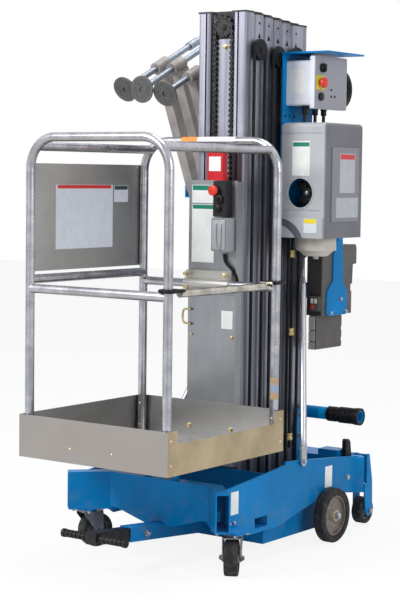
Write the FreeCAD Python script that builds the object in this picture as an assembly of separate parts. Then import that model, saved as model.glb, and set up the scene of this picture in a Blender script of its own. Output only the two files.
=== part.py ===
import FreeCAD, Part
import os
from math import cos, sin, pi, radians, sqrt, tan

# Vertical mast lift, millimetres.
# Machine frame: X to the machine's right, Y rearward, Z up from the floor.
# The camera fit gave distances from the tray's front edge, so Y() turns
# such a distance into the machine frame.

V = FreeCAD.Vector
os.makedirs("parts", exist_ok=True)

TRAY_FRONT_Y = -700.0


def Y(d):
    return TRAY_FRONT_Y + d


# Plain solids used all through the file

def box(x0, x1, y0, y1, z0, z1):
    return Part.makeBox(x1 - x0, y1 - y0, z1 - z0, V(x0, y0, z0))


def cyl(p, d, r, h):
    return Part.makeCylinder(r, h, V(*p), V(*d))


def ring(p, d, r_out, r_in, h):
    return cyl(p, d, r_out, h).cut(cyl(p, d, r_in, h))


def cone(p, d, r0, r1, h):
    return Part.makeCone(r0, r1, h, V(*p), V(*d))


def poly(points):
    ps = [V(*p) for p in points]
    return Part.Face(Part.makePolygon(ps + [ps[0]]))


def prism_x(yz, x0, x1):
    return poly([(x0, y, z) for y, z in yz]).extrude(V(x1 - x0, 0, 0))


def prism_y(xz, y0, y1):
    return poly([(x, y0, z) for x, z in xz]).extrude(V(0, y1 - y0, 0))


def prism_z(xy, z0, z1):
    return poly([(x, y, z0) for x, y in xy]).extrude(V(0, 0, z1 - z0))


def mirror_x(s):
    return s.mirror(V(0, 0, 0), V(1, 0, 0))


def both(s):
    return Part.makeCompound([s, mirror_x(s)])


def fuse(shapes):
    shapes = list(shapes)
    s = shapes[0].multiFuse(shapes[1:]) if len(shapes) > 1 else shapes[0]
    return s.removeSplitter()


def cut(s, tools):
    return s.cut(Part.makeCompound(list(tools)))


def turn(s, p, d, deg):
    t = s.copy()
    t.rotate(V(*p), V(*d), deg)
    return t


def move(s, x, y, z):
    t = s.copy()
    t.translate(V(x, y, z))
    return t


def tube_path(points, r, bend, r_in=0.0):
    # A round bar or tube along a polyline whose corners are arcs.
    ps = [V(*p) for p in points]
    edges = []
    start = ps[0]
    for i in range(1, len(ps) - 1):
        a = (ps[i - 1] - ps[i]).normalize()
        b = (ps[i + 1] - ps[i]).normalize()
        half = a.getAngle(b) / 2.0
        back = bend / tan(half)
        p0 = ps[i] + a * back
        p1 = ps[i] + b * back
        mid_dir = (a + b).normalize()
        mid = ps[i] + mid_dir * (bend / sin(half) - bend)
        if (p0 - start).Length > 1e-6:
            edges.append(Part.makeLine(start, p0))
        edges.append(Part.Arc(p0, mid, p1).toShape())
        start = p1
    edges.append(Part.makeLine(start, ps[-1]))
    path = Part.Wire(edges)
    d = (ps[1] - ps[0]).normalize()
    outer = Part.Wire(Part.makeCircle(r, ps[0], d))
    s = path.makePipeShell([outer], True, False)
    if r_in > 0:
        inner = Part.Wire(Part.makeCircle(r_in, ps[0], d))
        s = s.cut(path.makePipeShell([inner], True, False))
    return s


NODES = {}


def keep(name, *shapes):
    # Pieces kept under one name make one node of separate solids.
    for s in shapes:
        NODES.setdefault(name, []).extend(s.Solids)


# Main sizes
SEAT = 0.3
RUN_FIT = 0.05
MOVE_GAP = 6.0

# Base frame: welded side plates, front plate, cross plates and floor well
SIDE_X = 310.0
SIDE_T = 8.0
FRONT_PLATE_Y = 375.0
FRONT_PLATE_T = 8.0
BASE_TOP_FRONT = 291.0
SOCKET_W = 52.0
SOCKET_BOTTOM = 154.0
SOCKET_TOP = 291.0
SOCKET_WALL = 5.0
SOCKET_LEN = 175.0
SOCKET_REAR_LEN = 112.0
SOCKET_FRONT_TIP = (344.0, 287.0)
SOCKET_REAR_TIP = (320.0, 1259.0)
WELL_X = 250.0
WELL_FRONT = 676.0
WELL_REAR = 1160.0
WELL_BOTTOM = 38.0
WELL_T = 6.0
REAR_WALL_Y = 1326.0
REAR_TOP = 288.0

side_profile = [
    (357, 291), (726, 326), (731, 338), (829, 332), (1213, 296), (1264, 291),
    (1264, 160), (1213, 162), (1056, 163), (1040, 84), (984, 84), (960, 161),
    (941, 164), (872, 150), (820, 141), (678, 110), (502, 110), (430, 154), (357, 154),
]
SLOT_Y0, SLOT_Y1 = 527.0, 615.0
SLOT_Z0, SLOT_Z1 = 122.0, 167.0
SLOT_WALL = 4.0

side = prism_x([(Y(a), b) for a, b in side_profile], SIDE_X - SIDE_T, SIDE_X)
side = side.cut(box(SIDE_X - 20, SIDE_X + 5, Y(SLOT_Y0) + SLOT_WALL, Y(SLOT_Y1) - SLOT_WALL,
                    SLOT_Z0 + SLOT_WALL, SLOT_Z1 - SLOT_WALL))


def socket(tip, back, length):
    # A rectangular tube that opens outward at 45 degrees; back is -1 for a
    # front corner, +1 for a rear one.
    w = SOCKET_W / 2.0
    t = SOCKET_WALL
    s = box(-length, 0, -w, w, SOCKET_BOTTOM, SOCKET_TOP)
    s = s.cut(box(-length - 1, 1, -w + t, w - t, SOCKET_BOTTOM + t, SOCKET_TOP - t))
    s.rotate(V(0, 0, 0), V(0, 0, 1), 45.0 * back)
    s.translate(V(tip[0], Y(tip[1]), 0))
    return s


front_socket = socket(SOCKET_FRONT_TIP, -1, SOCKET_LEN)
rear_socket = socket(SOCKET_REAR_TIP, 1, SOCKET_REAR_LEN)


def socket_core(tip, back, out=30.0):
    w = SOCKET_W / 2.0
    length = SOCKET_LEN if back < 0 else SOCKET_REAR_LEN
    s = box(-length - SEAT, out, -w, w, SOCKET_BOTTOM, SOCKET_TOP)
    s.rotate(V(0, 0, 0), V(0, 0, 1), 45.0 * back)
    s.translate(V(tip[0], Y(tip[1]), 0))
    return s


# The side plates stop where they meet the outside of a socket.
side = cut(side, [socket_core(SOCKET_FRONT_TIP, -1), socket_core(SOCKET_REAR_TIP, 1)])
side = sorted(side.Solids, key=lambda q: q.Volume)[-1]

front_profile = [(-226, 291), (226, 291), (226, 165), (196, 166), (61, 126), (-61, 126), (-196, 166), (-226, 165)]
front_plate = prism_y(front_profile, Y(FRONT_PLATE_Y), Y(FRONT_PLATE_Y) + FRONT_PLATE_T)
front_flange = box(-226, 226, Y(FRONT_PLATE_Y), Y(FRONT_PLATE_Y) + 45, 283, 291)
front_cut = [socket_core(SOCKET_FRONT_TIP, -1), mirror_x(socket_core(SOCKET_FRONT_TIP, -1))]
SLEEVE_NOTCH = box(-26.3, 26.3, Y(300), Y(460), 0, 135.5)
front_plate = cut(fuse([front_plate, front_flange]), front_cut + [SLEEVE_NOTCH])
front_plate = sorted(front_plate.Solids, key=lambda q: q.Volume)[-1]

keep("base_plates", both(side))
keep("base_plates", front_plate)
keep("corner_sockets", both(front_socket))
keep("corner_sockets", both(rear_socket))

# Slot tube that goes right across the base under the platform
slot_tube = box(-SIDE_X + SIDE_T, SIDE_X - SIDE_T, Y(SLOT_Y0), Y(SLOT_Y1), SLOT_Z0, SLOT_Z1)
slot_tube = slot_tube.cut(box(-SIDE_X, SIDE_X, Y(SLOT_Y0) + SLOT_WALL, Y(SLOT_Y1) - SLOT_WALL,
                              SLOT_Z0 + SLOT_WALL, SLOT_Z1 - SLOT_WALL))
keep("mast_well", slot_tube)

# Mast well: front and rear cross plates, low walls and a floor
well_in = SIDE_X - SIDE_T
cross_profile = [(-well_in, 296), (well_in, 296), (well_in, 112), (WELL_X, 112), (WELL_X, 44), (-WELL_X, 44),
                 (-WELL_X, 112), (-well_in, 112)]
cross_front = prism_y(cross_profile, Y(WELL_FRONT), Y(WELL_FRONT) + WELL_T)
HANDLE_TILT = 5.0
cross_rear_profile = [(-well_in, 296), (well_in, 296), (well_in, 165), (WELL_X, 165), (WELL_X, 44), (-WELL_X, 44),
                      (-WELL_X, 165), (-well_in, 165)]
cross_rear = prism_y(cross_rear_profile, Y(WELL_REAR) - WELL_T, Y(WELL_REAR))
well_floor = box(-WELL_X, WELL_X, Y(WELL_FRONT), Y(WELL_REAR), WELL_BOTTOM, WELL_BOTTOM + WELL_T)
well_wall = box(WELL_X - WELL_T, WELL_X, Y(WELL_FRONT) + WELL_T, Y(WELL_REAR) - WELL_T, 44, 165)
well_shelf = box(WELL_X - WELL_T, well_in, Y(WELL_FRONT) + WELL_T, Y(WELL_REAR) - WELL_T, 165, 171)
keep("mast_well", cross_front, cross_rear, well_floor, both(well_wall), both(well_shelf))

# Rear deck and rear wall between the side plates
rear_wall = box(-270, 270, Y(REAR_WALL_Y) - 6, Y(REAR_WALL_Y), 160, 288)
DECK_TOP = 288.0
DECK_T = 6.0
DECK_STEP = REAR_WALL_Y - 114.0
deck = box(-well_in, well_in, Y(WELL_REAR), Y(DECK_STEP), DECK_TOP - DECK_T, DECK_TOP)
deck_tail = box(-252, 252, Y(DECK_STEP), Y(REAR_WALL_Y) - 6, DECK_TOP - DECK_T, DECK_TOP)
rear_cut = [socket_core(SOCKET_REAR_TIP, 1), mirror_x(socket_core(SOCKET_REAR_TIP, 1))]
for plate_s in (rear_wall, fuse([deck, deck_tail])):
    keep("rear_deck", sorted(cut(plate_s, rear_cut).Solids, key=lambda q: q.Volume)[-1])
deck_block = box(176, 262, Y(WELL_REAR) + 4, Y(1230), DECK_TOP, DECK_TOP + 30)
keep("rear_deck", cut(deck_block, rear_cut))

# Rest pegs that the lowered tray stands on
PEG_R = 13.0
TRAY_Z = 386.0
peg_spots = [(62.0, 398.0), (-62.0, 398.0)]
PEG_TAPER = 14.0
peg_top = TRAY_Z - SEAT
pegs = [cyl((x, Y(y), BASE_TOP_FRONT), (0, 0, 1), PEG_R, peg_top - PEG_TAPER - BASE_TOP_FRONT) for x, y in peg_spots]
pegs += [cone((x, Y(y), peg_top - PEG_TAPER), (0, 0, 1), PEG_R, 7.0, PEG_TAPER) for x, y in peg_spots]
keep("rest_pegs", Part.makeCompound([fuse([pegs[0], pegs[2]]), fuse([pegs[1], pegs[3]])]))

# Tow handle: square sleeve on the base, square bar that slides in it, T-bar
SLEEVE_OUT = 52.0
SLEEVE_WALL = 4.0
BAR_GAP = 0.4
SLEEVE_FRONT = (0.0, 190.0, 124.0)
SLEEVE_LEN = 488.0
BAR_LEN = 545.0
PIN_BACK = 84.0


def handle_frame(s):
    # Local X runs back into the sleeve, local Z is up; tilt front end up.
    t = s.copy()
    t.rotate(V(0, 0, 0), V(0, 1, 0), HANDLE_TILT)
    t.rotate(V(0, 0, 0), V(0, 0, 1), 90.0)
    t.translate(V(SLEEVE_FRONT[0], Y(SLEEVE_FRONT[1]), SLEEVE_FRONT[2]))
    return t


so = SLEEVE_OUT / 2.0
si = so - SLEEVE_WALL
bo = si - BAR_GAP
sleeve = box(0, SLEEVE_LEN, -so, so, -so, so).cut(box(-1, SLEEVE_LEN + 1, -si, si, -si, si))
pin_hole = cyl((PIN_BACK, -60, 0), (0, 1, 0), 6.3, 120)
sleeve = sleeve.cut(pin_hole)
sleeve = handle_frame(sleeve)
sleeve = sleeve.cut(box(-200, 200, Y(WELL_FRONT) - SEAT, Y(WELL_FRONT) + 200, 0, 400))
keep("mast_well", sleeve)
bar = box(-150, BAR_LEN - 150, -bo, bo, -bo, bo)
boss = box(-188, -150, -bo, bo, -bo, bo)
keep("tow_handle", handle_frame(fuse([bar, boss])))
GRIP_HALF = 138.0
grip = []
for s in (-1, 1):
    g = cyl((-169, s * bo, 0), (0, s, 0), 11.0, GRIP_HALF - bo)
    collars = [cyl((-169, s * (bo + 16 + 18 * i), 0), (0, s, 0), 13.5, 12) for i in range(5)]
    tip = cyl((-169, s * (GRIP_HALF - 12), 0), (0, s, 0), 15.0, 12)
    grip.append(handle_frame(fuse([g, tip] + collars)))
keep("tow_handle", Part.makeCompound(grip))

# Front swivel casters: top plate, race, fork, axle and wheel
CASTER_X, CASTER_Y = 326.0, 374.0
CASTER_R = 62.5
CASTER_W = 48.0
CASTER_TRAIL = 35.0
CASTER_TOP = 148.0
CASTER_AXLE_R = 6.0
caster_pad = box(266, 374, Y(324), Y(424), CASTER_TOP, SOCKET_BOTTOM)
caster_plate = box(CASTER_X - 50, CASTER_X + 50, Y(CASTER_Y) - 45, Y(CASTER_Y) + 45, CASTER_TOP - 5, CASTER_TOP)
keep("corner_sockets", both(fuse([caster_pad, caster_plate])))


def caster(heading_deg):
    # The fork trails toward the heading, counted from +X.
    crown = cyl((0, 0, 134), (0, 0, 1), 34, CASTER_TOP - 5 - SEAT - 134)
    plate = box(-26, 50, -33, 33, 130, 134)
    leg = prism_y([(-26, 134), (50, 134), (52, 118), (CASTER_TRAIL + 15, 62), (CASTER_TRAIL + 8, 50),
                   (CASTER_TRAIL - 8, 50), (CASTER_TRAIL - 15, 62), (-26, 122)], 0, 4)
    legs = [move(leg, 0, 29, 0), move(leg, 0, -33, 0)]
    axle = cyl((CASTER_TRAIL, -44, 62.5), (0, 1, 0), CASTER_AXLE_R, 88)
    nuts = [cyl((CASTER_TRAIL, s * 33, 62.5), (0, s, 0), 9.5, 7) for s in (-1, 1)]
    fork = fuse([crown, plate] + legs + [axle] + nuts)
    tyre = ring((CASTER_TRAIL, -CASTER_W / 2, 62.5), (0, 1, 0), CASTER_R, 44, CASTER_W)
    tyre = tyre.makeFillet(6.0, [e for e in tyre.Edges if abs(e.BoundBox.XLength - 2 * CASTER_R) < 0.5
                                 and e.BoundBox.YLength < 0.1])
    hub = ring((CASTER_TRAIL, -CASTER_W / 2 - 2, 62.5), (0, 1, 0), 15, CASTER_AXLE_R + RUN_FIT, CASTER_W + 4)
    web = ring((CASTER_TRAIL, -5, 62.5), (0, 1, 0), 44, 15, 10)
    rim = ring((CASTER_TRAIL, -20, 62.5), (0, 1, 0), 44, 38, 40)
    out = []
    for s in (fork, tyre, fuse([hub, web, rim])):
        t = turn(s, (0, 0, 0), (0, 0, 1), heading_deg)
        out.append(t)
    return out


HEADING_RIGHT = -60.0
HEADING_LEFT = 70.0
for side_name, sx, heading in (("r", 1, HEADING_RIGHT), ("l", -1, HEADING_LEFT)):
    f, t, h = caster(heading)
    keep("caster_fork_" + side_name, move(f, sx * CASTER_X, Y(CASTER_Y), 0))
    keep("caster_wheel_" + side_name, move(t, sx * CASTER_X, Y(CASTER_Y), 0))
    keep("caster_wheel_" + side_name, move(h, sx * CASTER_X, Y(CASTER_Y), 0))

# Main rear wheels on stub axles
WHEEL_Y = 1012.0
WHEEL_R = 102.0
WHEEL_X0, WHEEL_X1 = 316.0, 356.0
STUB_R = 10.0


def tyre_x(x0, x1, y, z, r, r_in, soft):
    t = ring((x0, y, z), (1, 0, 0), r, r_in, x1 - x0)
    es = [e for e in t.Edges if abs(e.BoundBox.YLength - 2 * r) < 0.5 and e.BoundBox.XLength < 0.1]
    return t.makeFillet(soft, es)


def disc_hub(x0, x1, y, z, r, r_hub, r_bore, dish):
    mid = (x0 + x1) / 2.0
    web = ring((mid - 5, y, z), (1, 0, 0), r, r_hub, 10)
    rim = ring((x0 + dish, y, z), (1, 0, 0), r, r - 7, x1 - x0 - 2 * dish)
    hub = ring((x0, y, z), (1, 0, 0), r_hub, r_bore, x1 - x0)
    return fuse([web, rim, hub])


main_tyre = tyre_x(WHEEL_X0, WHEEL_X1, Y(WHEEL_Y), WHEEL_R, WHEEL_R, 76, 7.0)
main_hub = disc_hub(WHEEL_X0, WHEEL_X1, Y(WHEEL_Y), WHEEL_R, 76, 20, STUB_R + RUN_FIT, 5)
stub = fuse([cyl((SIDE_X, Y(WHEEL_Y), WHEEL_R), (1, 0, 0), STUB_R, WHEEL_X1 - SIDE_X + 4),
             cyl((SIDE_X, Y(WHEEL_Y), WHEEL_R), (1, 0, 0), 18, WHEEL_X0 - SIDE_X - SEAT),
             cyl((WHEEL_X1 + SEAT, Y(WHEEL_Y), WHEEL_R), (1, 0, 0), 14, 7)])
keep("rear_axles", both(stub))
keep("main_wheel_r", main_tyre)
keep("main_wheel_l", mirror_x(main_tyre))
keep("main_wheel_r", main_hub)
keep("main_wheel_l", mirror_x(main_hub))

# Small tilt wheels between fork plates behind the rear wall
TILT_Y, TILT_Z, TILT_R = 1349.0, 60.0, 52.0
TILT_X0, TILT_X1 = 250.0, 292.0
fork_profile = [(REAR_WALL_Y, 288), (1345, 286), (1369, 180), (1373, 66), (1362, 42), (1336, 42), (1322, 66),
                (1312, 150), (1312, 172), (REAR_WALL_Y, 172)]
fork_out = prism_x([(Y(a), b) for a, b in fork_profile], TILT_X1 + 4, TILT_X1 + 10)
fork_in = prism_x([(Y(a), b) for a, b in [(REAR_WALL_Y, 286), (1345, 286), (1369, 180), (1373, 66), (1362, 42),
                                          (1336, 42), (1326, 66), (REAR_WALL_Y, 160)]], TILT_X0 - 10, TILT_X0 - 4)
fork_web = box(TILT_X0 - 10, TILT_X1 + 10, Y(REAR_WALL_Y), Y(REAR_WALL_Y) + 6, 172, 286)
tilt_axle = cyl((TILT_X0 - 14, Y(TILT_Y), TILT_Z), (1, 0, 0), 7.0, TILT_X1 - TILT_X0 + 28)
tilt_nut = cyl((TILT_X1 + 10, Y(TILT_Y), TILT_Z), (1, 0, 0), 10.0, 7)
tilt_pin = fuse([tilt_axle, tilt_nut])
keep("rear_axles", both(tilt_pin))
keep("rear_deck", both(fuse([fork_out, fork_in, fork_web]).cut(tilt_pin)))
tilt_tyre = tyre_x(TILT_X0, TILT_X1, Y(TILT_Y), TILT_Z, TILT_R, 36, 6.0)
tilt_hub = disc_hub(TILT_X0, TILT_X1, Y(TILT_Y), TILT_Z, 36, 14, 7.0 + RUN_FIT, 4)
keep("tilt_wheel_r", tilt_tyre)
keep("tilt_wheel_l", mirror_x(tilt_tyre))
keep("tilt_wheel_r", tilt_hub)
keep("tilt_wheel_l", mirror_x(tilt_hub))

# Brake pedals on the rear deck
pedal = prism_x([(Y(1190), 291), (Y(1232), 291), (Y(1222), 350), (Y(1210), 360), (Y(1194), 360), (Y(1190), 350)],
                268, 286)
keep("brake_pedals", both(pedal))

# Mast columns: one extruded profile, six of them, each a stage higher when up
COL_N = 6
COL_PITCH = 62.0
COL_DEPTH = 54.0
COL_FRONT = 730.0
COL_HALF = 104.0
COL_BOTTOM = 52.0
COL_TOP_FRONT = 1959.0
COL_TOP_STEP = 5.0
T_SLOT_X = 71.0
T_SLOT_W = 6.0
T_STEM_W = T_SLOT_W - 2 * SEAT
FLANGE_T = 5.0
RECESS_HALF = 57.0
RECESS_DEPTH = 22.0
REAR_DEPTH_6 = 101.0


def column_section(depth):
    # Right half from the rear middle round to the recess floor, then mirrored.
    a = T_SLOT_X + T_SLOT_W / 2
    b = T_SLOT_X - T_SLOT_W / 2
    h = COL_HALF
    outer = [(0, depth), (h, depth), (h, 4), (h - 6, 0), (a, 0), (a, FLANGE_T), (h - 6, FLANGE_T),
             (h - 6, depth - 5), (-(h - 6), depth - 5), (-(h - 6), FLANGE_T), (-a, FLANGE_T), (-a, 0),
             (-(h - 6), 0), (-h, 4), (-h, depth)]
    shell = prism_z(outer, 0, 1)
    r = RECESS_HALF
    mid = [(-b, 0), (-r - 1, -1.5), (-r + 5, 3), (-r + 5, RECESS_DEPTH - 4), (r - 5, RECESS_DEPTH - 4),
           (r - 5, 3), (r + 1, -1.5), (b, 0), (b, FLANGE_T), (r + 5, FLANGE_T), (r, 8),
           (r, RECESS_DEPTH), (34, RECESS_DEPTH), (34, depth - 5), (28, depth - 5), (28, RECESS_DEPTH),
           (-28, RECESS_DEPTH), (-28, depth - 5), (-34, depth - 5), (-34, RECESS_DEPTH), (-r, RECESS_DEPTH),
           (-r, 8), (-r - 5, FLANGE_T), (-b, FLANGE_T)]
    return outer, mid


def column(k):
    depth = REAR_DEPTH_6 if k == COL_N else COL_DEPTH
    z0 = WELL_BOTTOM + WELL_T if k == COL_N else COL_BOTTOM
    z1 = COL_TOP_FRONT - COL_TOP_STEP * (k - 1)
    outer, mid = column_section(depth)
    y0 = Y(COL_FRONT + COL_PITCH * (k - 1))
    s = prism_z([(x, y0 + y) for x, y in outer], z0, z1)
    m = prism_z([(x, y0 + y) for x, y in mid], z0, z1)
    s = s.fuse(m)
    cuts = []
    zt = z1 - 84.0
    if k > 1:
        # Triangular and round windows near the top of both side walls
        ym = y0 + COL_DEPTH / 2 + 1
        for x0 in (-COL_HALF - 2, COL_HALF - 10):
            cuts.append(prism_x([(ym - 10, zt), (ym + 10, zt), (ym, zt + 20)], x0, x0 + 12))
            cuts.append(cyl((x0, ym, z1 - 30), (1, 0, 0), 5.0, 12))
    cuts.append(box(-44, 44, y0 - 3, y0 + RECESS_DEPTH + 2, z1 - 94, z1 + 1))
    s = cut(s, cuts)
    s = sorted(s.Solids, key=lambda q: q.Volume)[-1]
    return s


# T-blocks: stem through the front slot of the column behind, head inside it
T_HEAD_DEPTH = 15.0
T_BLOCK_H = 60.0


def t_blocks(y_face, y_next, zs):
    out = []
    for z in zs:
        for s in (-1, 1):
            xs = sorted((s * (T_SLOT_X - T_STEM_W / 2), s * (T_SLOT_X + T_STEM_W / 2)))
            xh = sorted((s * (RECESS_HALF + 5 + SEAT + 0.3), s * (COL_HALF - 6 - SEAT)))
            stem = box(xs[0], xs[1], y_face, y_next + FLANGE_T + SEAT, z, z + T_BLOCK_H)
            head = box(xh[0], xh[1], y_next + FLANGE_T + SEAT, y_next + FLANGE_T + SEAT + T_HEAD_DEPTH,
                       z, z + T_BLOCK_H)
            out.append(stem.fuse(head).removeSplitter())
    return out


SHEAVE_X0 = COL_HALF + 4.0
SHEAVE_X1 = SHEAVE_X0 + 17.0
SHEAVE_R = 36.0
sheave_table = [
    # column, drop of the sheave centre below the column's top, distance behind the column's front face
    (2, 128.0, 15.0),
    (4, 136.0, 15.0),
    (6, 122.0, 17.0),
]
HOSE_R = 6.0

for k in range(1, COL_N + 1):
    z1 = COL_TOP_FRONT - COL_TOP_STEP * (k - 1)
    y0 = Y(COL_FRONT + COL_PITCH * (k - 1))
    depth = REAR_DEPTH_6 if k == COL_N else COL_DEPTH
    body = column(k)
    # Black top cap, thin lip over the profile
    cap = box(-COL_HALF - 2, COL_HALF + 2, y0 - 2, y0 + depth, z1, z1 + 6)
    cap = cap.cut(box(-44, 44, y0 - 5, y0 + RECESS_DEPTH - 4, z1 - 1, z1 + 7))
    caps = [cap]
    # Chain pocket with its sprocket in the front recess
    pocket_back = box(-43, 43, y0 + RECESS_DEPTH - 4 + SEAT, y0 + RECESS_DEPTH + 1.7, z1 - 93.5, z1 - 0.2)
    caps.append(pocket_back)
    keep("column_%d" % k, body)
    keep("column_%d" % k, *caps)
    if k < COL_N:
        zs = [COL_BOTTOM + 20, COL_BOTTOM + 360]
        blocks = t_blocks(y0 + COL_DEPTH, y0 + COL_PITCH, zs)
        keep("column_%d" % k, *blocks)

# Lift chain on the front column: sprocket, two strands and anchor plate
SPROCKET_R = 36.0
SPROCKET_Z = COL_TOP_FRONT - 52.0
y1 = Y(COL_FRONT)
teeth = []
TEETH = 16
pts = []
for i in range(TEETH * 2):
    a = i * pi / TEETH
    r = SPROCKET_R + 1.5 if i % 2 == 0 else SPROCKET_R - 4.5
    pts.append((r * cos(a), SPROCKET_Z + r * sin(a)))
sprocket = prism_y(pts, y1 + 7, y1 + 12)
sprocket_hub = cyl((0, y1 + 3, SPROCKET_Z), (0, 1, 0), 13, RECESS_DEPTH - 4 + SEAT - 3)
sprocket_nut = cyl((0, y1, SPROCKET_Z), (0, 1, 0), 8, 3)
keep("lift_chain", fuse([sprocket, sprocket_hub, sprocket_nut]))
PITCH = 19.05
STRAND_X = SPROCKET_R + 1.0
strand_top = SPROCKET_Z
strand_bottom = 700.0
links = []
for sx in (-1, 1):
    n = int((strand_top - strand_bottom) / PITCH)
    core = box(sx * STRAND_X - 2.2, sx * STRAND_X + 2.2, y1 + 6.5, y1 + 12.5, strand_bottom, strand_top)
    one = [core]
    for i in range(n):
        z = strand_bottom + i * PITCH
        one.append(box(sx * STRAND_X - 7.5, sx * STRAND_X + 7.5, y1 + 5.0, y1 + 14.0, z + 3, z + 15))
    links.append(Part.makeCompound([core.multiFuse(one[1:])]))
# Links bent round the top of the sprocket, with a slot for its teeth
wrap = [ring((0, y1 + 6.5, SPROCKET_Z), (0, 1, 0), STRAND_X + 2.2, STRAND_X - 2.2, 6)]
WRAP_LINKS = 6
for i in range(WRAP_LINKS):
    a = 180.0 * (i + 0.5) / WRAP_LINKS
    link = box(STRAND_X - 7.5, STRAND_X + 7.5, y1 + 5.0, y1 + 14.0, -6, 6)
    link.rotate(V(0, 0, 0), V(0, 1, 0), -a)
    link.translate(V(0, 0, SPROCKET_Z))
    wrap.append(link)
wrap = wrap[0].multiFuse(wrap[1:]).cut(box(-80, 80, y1, y1 + 20, SPROCKET_Z - 80, SPROCKET_Z))
strands = links[0].fuse([links[1], wrap])
chain = strands.cut(cyl((0, y1 + 6.6, SPROCKET_Z), (0, 1, 0), SPROCKET_R + 2.0, 5.8))
keep("lift_chain", chain)

# Hose sheaves on the right side, with the hose that loops over each
for k, drop, back in sheave_table:
    z1 = COL_TOP_FRONT - COL_TOP_STEP * (k - 1)
    yc = Y(COL_FRONT + COL_PITCH * (k - 1)) + back
    zc = z1 - drop
    wheel = cyl((SHEAVE_X0 + 2, yc, zc), (1, 0, 0), SHEAVE_R - HOSE_R - 1, SHEAVE_X1 - SHEAVE_X0 - 4)
    rims = [cyl((SHEAVE_X0, yc, zc), (1, 0, 0), SHEAVE_R + 2, 2.5),
            cyl((SHEAVE_X1 - 2.5, yc, zc), (1, 0, 0), SHEAVE_R + 2, 2.5)]
    pin = cyl((COL_HALF, yc, zc), (1, 0, 0), 9, SHEAVE_X1 + 3 - COL_HALF)
    keep("hoses_%d" % k, fuse([wheel, pin] + rims))
    xm = (SHEAVE_X0 + SHEAVE_X1) / 2.0
    low = 70.0
    hose = tube_path([(xm, yc - SHEAVE_R + 1, low), (xm, yc - SHEAVE_R + 1, zc + SHEAVE_R - 1),
                      (xm, yc + SHEAVE_R - 1, zc + SHEAVE_R - 1), (xm, yc + SHEAVE_R - 1, low)],
                     HOSE_R, SHEAVE_R - 1.01)
    keep("hoses_%d" % k, hose)

# Carriage in front of the first column
TRAY_REAR = 686.0
PLATE_FRONT = TRAY_REAR + SEAT
PLATE_T = 5.0
PLATE_X = COL_HALF + 3.0
PLATE_Z0, PLATE_Z1 = 300.0, 1349.0
plate = box(-PLATE_X, PLATE_X, Y(PLATE_FRONT), Y(PLATE_FRONT) + PLATE_T, PLATE_Z0, PLATE_Z1)
rail_y0 = Y(PLATE_FRONT) + PLATE_T
rail_y1 = Y(COL_FRONT) - MOVE_GAP
rail = box(62, PLATE_X, rail_y0, rail_y1, PLATE_Z0, PLATE_Z1 - 4)
keep("carriage", plate)
keep("carriage", both(rail))
keep("carriage", Part.makeCompound(t_blocks(rail_y1, Y(COL_FRONT), [PLATE_Z0 + 6, PLATE_Z0 + 150])))

# Platform: tray with toe board, floor panel and cage
TRAY_X = 323.5
TRAY_D = 686.0
TRAY_H = 148.0
TRAY_T = 3.0
TRAY_FRONT = TRAY_REAR - TRAY_D
FLOOR_UP = 12.0
tray = box(-TRAY_X, TRAY_X, Y(TRAY_FRONT), Y(TRAY_REAR), TRAY_Z, TRAY_Z + TRAY_H)
tray = tray.cut(box(-TRAY_X + TRAY_T, TRAY_X - TRAY_T, Y(TRAY_FRONT) + TRAY_T, Y(TRAY_REAR) - TRAY_T,
                    TRAY_Z + FLOOR_UP, TRAY_Z + TRAY_H + 5))
ENTRY_Y0, ENTRY_Y1 = TRAY_FRONT + 52.0, TRAY_REAR - 59.0
ENTRY_DROP = 45.0
tray = tray.cut(box(TRAY_X - 10, TRAY_X + 5, Y(ENTRY_Y0), Y(ENTRY_Y1), TRAY_Z + TRAY_H - ENTRY_DROP,
                    TRAY_Z + TRAY_H + 5))
# Tread panel that stands a little proud of the floor, inside the posts
TREAD_X = 278.0
TREAD_T = 2.0
tread = box(-TREAD_X, TREAD_X, Y(TRAY_FRONT) + 46, Y(TRAY_REAR) - 46, TRAY_Z + FLOOR_UP, TRAY_Z + FLOOR_UP + TREAD_T)
keep("tray", tray.fuse(tread))

RAIL_R = 15.875
POST_X = 298.5
POST_IN = 25.0
RAIL_Z = 1491.0
MID_Z = 971.0
BEND = 108.0
post_z0 = TRAY_Z + FLOOR_UP
yf, yr = Y(TRAY_FRONT + POST_IN), Y(TRAY_REAR - POST_IN)
hoop_f = tube_path([(-POST_X, yf, post_z0), (-POST_X, yf, RAIL_Z), (POST_X, yf, RAIL_Z), (POST_X, yf, post_z0)],
                   RAIL_R, BEND)
hoop_r = move(hoop_f, 0, yr - yf, 0)
bend_off = BEND * (1 - cos(radians(45)))
side_rail_x = POST_X - bend_off
side_rail_z = RAIL_Z - bend_off
side_rails = [cyl((s * side_rail_x, yf, side_rail_z), (0, 1, 0), RAIL_R, yr - yf) for s in (-1, 1)]
mid_front = cyl((-POST_X, yf, MID_Z), (1, 0, 0), RAIL_R, 2 * POST_X)
mid_rear = cyl((-POST_X, yr, MID_Z), (1, 0, 0), RAIL_R, 2 * POST_X)
mid_left = cyl((-POST_X, yf, MID_Z + 31), (0, 1, 0), RAIL_R, yr - yf)
hoops = hoop_f.fuse(hoop_r)
rails = [s.cut(hoops) for s in side_rails + [mid_front, mid_rear, mid_left]]
rail_pieces = []
for r in rails:
    rail_pieces.append(sorted(r.Solids, key=lambda q: q.Volume)[-1])
keep("cage_hoops", hoop_f)
keep("cage_hoops", hoop_r)
rail_mid_rear = rail_pieces.pop(3)
keep("cage_rails", Part.makeCompound(rail_pieces))

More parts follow.
